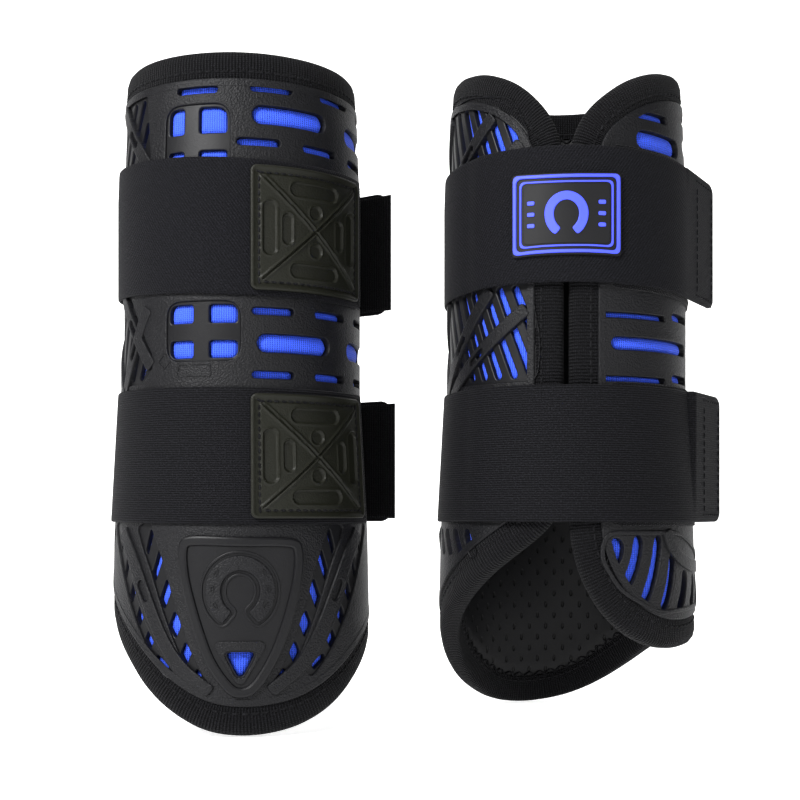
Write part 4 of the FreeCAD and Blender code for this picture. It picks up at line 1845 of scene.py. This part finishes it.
    def patch(self) -> None:
        """Build the moulded patch that anchors the strap's back end."""
        draft = Draft()
        half_u, half_v = PATCH_HALF
        centre = (flat(PATCH_ANGLE), float(strap_middle(PATCH_ANGLE, self.low)))
        gu, gv = np.meshgrid(np.linspace(-half_u, half_u, 134),
                             np.linspace(-half_v, half_v, 124), indexing="ij")
        level = patch_relief(gu, gv, half_u, half_v)
        flat_points = np.stack(soft_corner(gu, gv, half_u, half_v, 2.4), axis=2) + centre
        points = wrap(flat_points.reshape(-1, 2), level.ravel()).reshape(gu.shape + (3,))
        draft.grid(points[:, ::-1], flat_points[:, ::-1])
        rim = rim_of(flat_points)
        ring = np.stack((wrap(rim, rim_of(level)), wrap(rim, 10.1)), axis=1)
        draft.grid(ring[:, ::-1], np.stack((rim, rim), axis=1), wrap_u=True)
        seam = resample(inset(block_loop(centre, 2 * half_u, 2 * half_v, 2.4), 2.9), 2.7)
        stitch(draft, seam, ways_along(seam), 11.45, 2.0, 0.75)
        piece = self.place.bake(draft, self.label + "_anchor_patch",
                                (self.finish.patch, self.finish.thread), 50.0)
        self.place.fix(piece, self.place.body, Layer.PATCH, self.label + "_anchor_patch")

    def build(self) -> None:
        """Build the whole strap."""
        self.back()
        self.front()
        self.panel()
        self.patch()


def soft_corner(u: np.ndarray, v: np.ndarray, half_u: float, half_v: float,
                radius: float) -> Tuple[np.ndarray, np.ndarray]:
    """Pull a rectangle's corners in to round them.

    Args:
        u: positions across.
        v: positions up.
        half_u: half width.
        half_v: half height.
        radius: corner radius.

    Returns:
        The moved positions.
    """
    du = np.maximum(np.abs(u) - (half_u - radius), 0.0)
    dv = np.maximum(np.abs(v) - (half_v - radius), 0.0)
    size = np.maximum(np.hypot(du, dv), 1e-9)
    k = np.where((du > 0) & (dv > 0), np.maximum(du, dv) / size, 1.0)
    new_u = np.sign(u) * (np.minimum(np.abs(u), half_u - radius) + du * k)
    new_v = np.sign(v) * (np.minimum(np.abs(v), half_v - radius) + dv * k)
    return new_u, new_v


def obround(u: np.ndarray, v: np.ndarray, long: float, wide: float) -> np.ndarray:
    """Measure the distance to a level slot round the middle, negative inside.

    Args:
        u: positions across.
        v: positions up.
        long: overall length.
        wide: width.

    Returns:
        The signed distances.
    """
    half = (long - wide) / 2
    return np.hypot(np.maximum(np.abs(u) - half, 0.0), v) - wide / 2


def patch_relief(u: np.ndarray, v: np.ndarray, half_u: float, half_v: float) -> np.ndarray:
    """Give the moulded relief of an anchor patch.

    Args:
        u: positions across.
        v: positions up.
        half_u: half width.
        half_v: half height.

    Returns:
        The level of each point off the lining.
    """
    def step(distance: np.ndarray, soft: float = 0.35) -> np.ndarray:
        """Fade from 1 inside an edge to 0 outside it.

        Args:
            distance: signed distances from the edge.
            soft: half width of the fade.

        Returns:
            The shares.
        """
        t = np.clip(0.5 - distance / (2 * soft), 0.0, 1.0)
        return t * t * (3 - 2 * t)

    edge = np.minimum(half_u - np.abs(u), half_v - np.abs(v))
    level = 11.5 + 0.55 * step(edge - 1.3) - 0.3 * step(np.abs(edge - 2.7) - 0.55)
    level -= 0.45 * step(edge - 0.2, 0.3)
    seam = np.abs(np.abs(v) * half_u - np.abs(u) * half_v) / math.hypot(half_u, half_v)
    inner = step(3.6 - edge)
    level += (0.42 * step(seam - 1.15, 0.3) - 0.75 * step(seam - 0.35, 0.25)) * inner
    for side in (-1, 1):
        for near in (obround(u, v - side * 15.2, 20.5, 5.4),
                     np.hypot(u, v - side * 7.2) - 2.5,
                     obround(v, u - side * 18.0, 20.0, 4.9),
                     obround(v, u - side * 11.4, 11.4, 3.6)):
            level += -0.8 * step(near, 0.3) + 0.2 * step(np.abs(near - 0.5) - 0.25, 0.2)
    return level


# --- badge, stage and camera --------------------------------------------------------

@dataclass
class Badge:
    """The small rubber badge on the upper strap, over the opening."""

    place: Placing
    finish: Finishes

    def frame_loop(self, wide: float, tall: float) -> Loop:
        """Draw a frame line with slightly flared corners.

        Args:
            wide: width.
            tall: height.

        Returns:
            Its loop.
        """
        loop = block_loop((0.0, 0.0), wide, tall, 2.2, 0.6)
        flare = 1.0 + 0.035 * np.abs(loop[:, 0] / wide * 2) ** 3
        loop = np.column_stack((loop[:, 0], loop[:, 1] * flare / 1.035))
        return loop + (flat(OPENING), strap_middle(OPENING, False) - 0.5)

    def build(self) -> None:
        """Build the badge."""
        draft = Draft()

        def add(outer: Loop, holes: tuple, low: float, high: float, bevel: float,
                finish: int) -> None:
            """Add a layer of the badge.

            Args:
                outer: its outline.
                holes: loops of its holes.
                low: level of its underside.
                high: level of its top.
                bevel: size of its rounded edge.
                finish: index of the material.
            """
            Plate(outer, holes, low, high, bevel, 1.6, finish).into(draft)

        def ring(depth: float) -> Loop:
            """Draw the badge's outline moved inwards.

            Args:
                depth: the distance from its edge.

            Returns:
                The loop.
            """
            return self.frame_loop(38.8 - 2 * depth, 31.2 - 2 * depth)

        add(ring(0.0), (), 11.35, 12.7, 0.35, 0)
        add(ring(0.7), (ring(1.95),), 12.6, 13.3, 0.25, 1)
        add(ring(3.1), (ring(3.8),), 12.6, 13.05, 0.15, 1)
        add(ring(4.4), (), 12.5, 12.95, 0.2, 0)
        centre = (flat(OPENING), float(strap_middle(OPENING, False)) - 0.5)
        shoe = horseshoe(centre, 15.0, 16.5, 3.2)
        add(shoe, (), 12.8, 13.32, 0.25, 1)
        for side in (-1, 1):
            for lift in (-2.6, 0.0, 2.6):
                dot = block_loop((centre[0] + side * 12.2, centre[1] + lift * 1.6), 2.6, 1.5,
                                 0.5, 0.4)
                add(dot, (), 12.8, 13.25, 0.15, 1)
        piece = self.place.bake(draft, "badge", (self.finish.badge, self.finish.badge_blue))
        self.place.fix(piece, self.place.hand.value + "_upper_strap", Layer.BADGE, "badge")


@dataclass
class Boot:
    """One whole boot."""

    place: Placing
    finish: Finishes

    def build(self) -> None:
        """Build every piece of the boot in order."""
        wall = Wall(self.place, self.finish)
        shell = Shell(wall)
        holes = shell.vents()
        wall.lining()
        wall.spacer(holes)
        shell.build()
        wall.binding()
        for low in (False, True):
            Strap(self.place, self.finish, low).build()
        Badge(self.place, self.finish).build()


@dataclass
class Studio:
    """Floor, light and camera.

    Attributes:
        floor_height: height of the floor in metres.
        middle: place between the boots, across the frame.
        eye: the camera's place, level with the boots' lower part and facing them.
        lens: focal length in millimetres.
        shift: sideways and upward shift of the lens.
        lamps: name, place, side and watts of each lamp.
    """

    floor_height: float = -ORIGIN_HEIGHT / 1000.0
    middle: float = SPACING / 2000.0
    eye: Tuple[float, float] = (-0.547, -0.084)
    lens: float = 60.75
    shift: Tuple[float, float] = (-0.005, 0.1375)
    lamps: Tuple[tuple, ...] = (("key", (-0.62, -0.95, 0.75), 0.45, 34.0),
                                ("fill", (0.9, -1.2, 0.35), 0.45, 4.0),
                                ("top", (0.06, 0.1, 1.5), 1.1, 10.0))

    def floor(self) -> None:
        """Lay a white sweep that rises behind the boots."""
        depth = np.linspace(0.0, 1.0, 40)
        back = np.clip(depth * 5.6 - 3.0, -3.0, 2.0)
        rise = np.clip(depth - 0.89, 0.0, None) * 20.0
        # the front row reaches further out and wider, for the views from behind
        back[0] = -14.0
        half = np.where(back < -3.0, 14.0, 4.0)
        below = self.floor_height - 0.0006
        verts = [(float(x), float(y), below + float(z))
                 for y, z, side in zip(back, rise, half) for x in (-side, side)]
        faces = []
        for k in range(len(depth) - 1):
            faces.append((2 * k, 2 * k + 1, 2 * k + 3, 2 * k + 2))
        mesh = bpy.data.meshes.new("floor")
        mesh.from_pydata(verts, [], faces)
        mesh.shade_smooth()
        material = bpy.data.materials.new("floor_white")
        material.use_nodes = True
        shader = material.node_tree.nodes["Principled BSDF"]
        shader.inputs["Base Color"].default_value = (0.93, 0.93, 0.93, 1.0)
        shader.inputs["Roughness"].default_value = 0.9
        shader.inputs["Emission Color"].default_value = (1.0, 1.0, 1.0, 1.0)
        shader.inputs["Emission Strength"].default_value = 0.72
        mesh.materials.append(material)
        floor = bpy.data.objects.new("floor", mesh)
        bpy.context.scene.collection.objects.link(floor)

    def lamp(self, name: str, place: Tuple[float, float, float], size: float,
             power: float) -> None:
        """Hang a soft square lamp aimed at the boots.

        Args:
            name: its name.
            place: its position.
            size: its side.
            power: its watts.
        """
        light = bpy.data.lights.new(name, "AREA")
        light.shape = "SQUARE"
        light.size = size
        light.energy = power
        lamp = bpy.data.objects.new(name, light)
        lamp.location = place
        aim = Vector((self.middle, 0.0, -0.04)) - Vector(place)
        lamp.rotation_euler = aim.to_track_quat("-Z", "Y").to_euler()
        bpy.context.scene.collection.objects.link(lamp)

    def lights(self) -> None:
        """Set the world and the lamps."""
        world = bpy.data.worlds.new("studio")
        world.use_nodes = True
        back = world.node_tree.nodes["Background"]
        back.inputs[0].default_value = (1.0, 1.0, 1.0, 1.0)
        back.inputs[1].default_value = 0.13
        scene = bpy.context.scene
        scene.world = world
        scene.view_settings.view_transform = "Standard"
        scene.view_settings.gamma = 0.9
        for lamp in self.lamps:
            self.lamp(*lamp)

    def camera(self) -> None:
        """Place the camera in front of the boots."""
        lens = bpy.data.cameras.new("camera")
        lens.lens = self.lens
        lens.sensor_width = 36.0
        lens.shift_x, lens.shift_y = self.shift
        eye = bpy.data.objects.new("camera", lens)
        eye.location = (self.middle, *self.eye)
        eye.rotation_euler = (math.pi / 2, 0.0, 0.0)
        bpy.context.scene.collection.objects.link(eye)
        bpy.context.scene.camera = eye

    def build(self) -> None:
        """Set up the whole studio."""
        self.floor()
        self.lights()
        self.camera()


def main() -> None:
    """Build both boots and the studio, and log each piece's face count."""
    logging.basicConfig(level=logging.INFO, format="%(message)s")
    finish = Finishes.make()
    for hand in Hand:
        Boot(Placing(hand), finish).build()
    Studio().build()


if __name__ == "__main__":
    main()
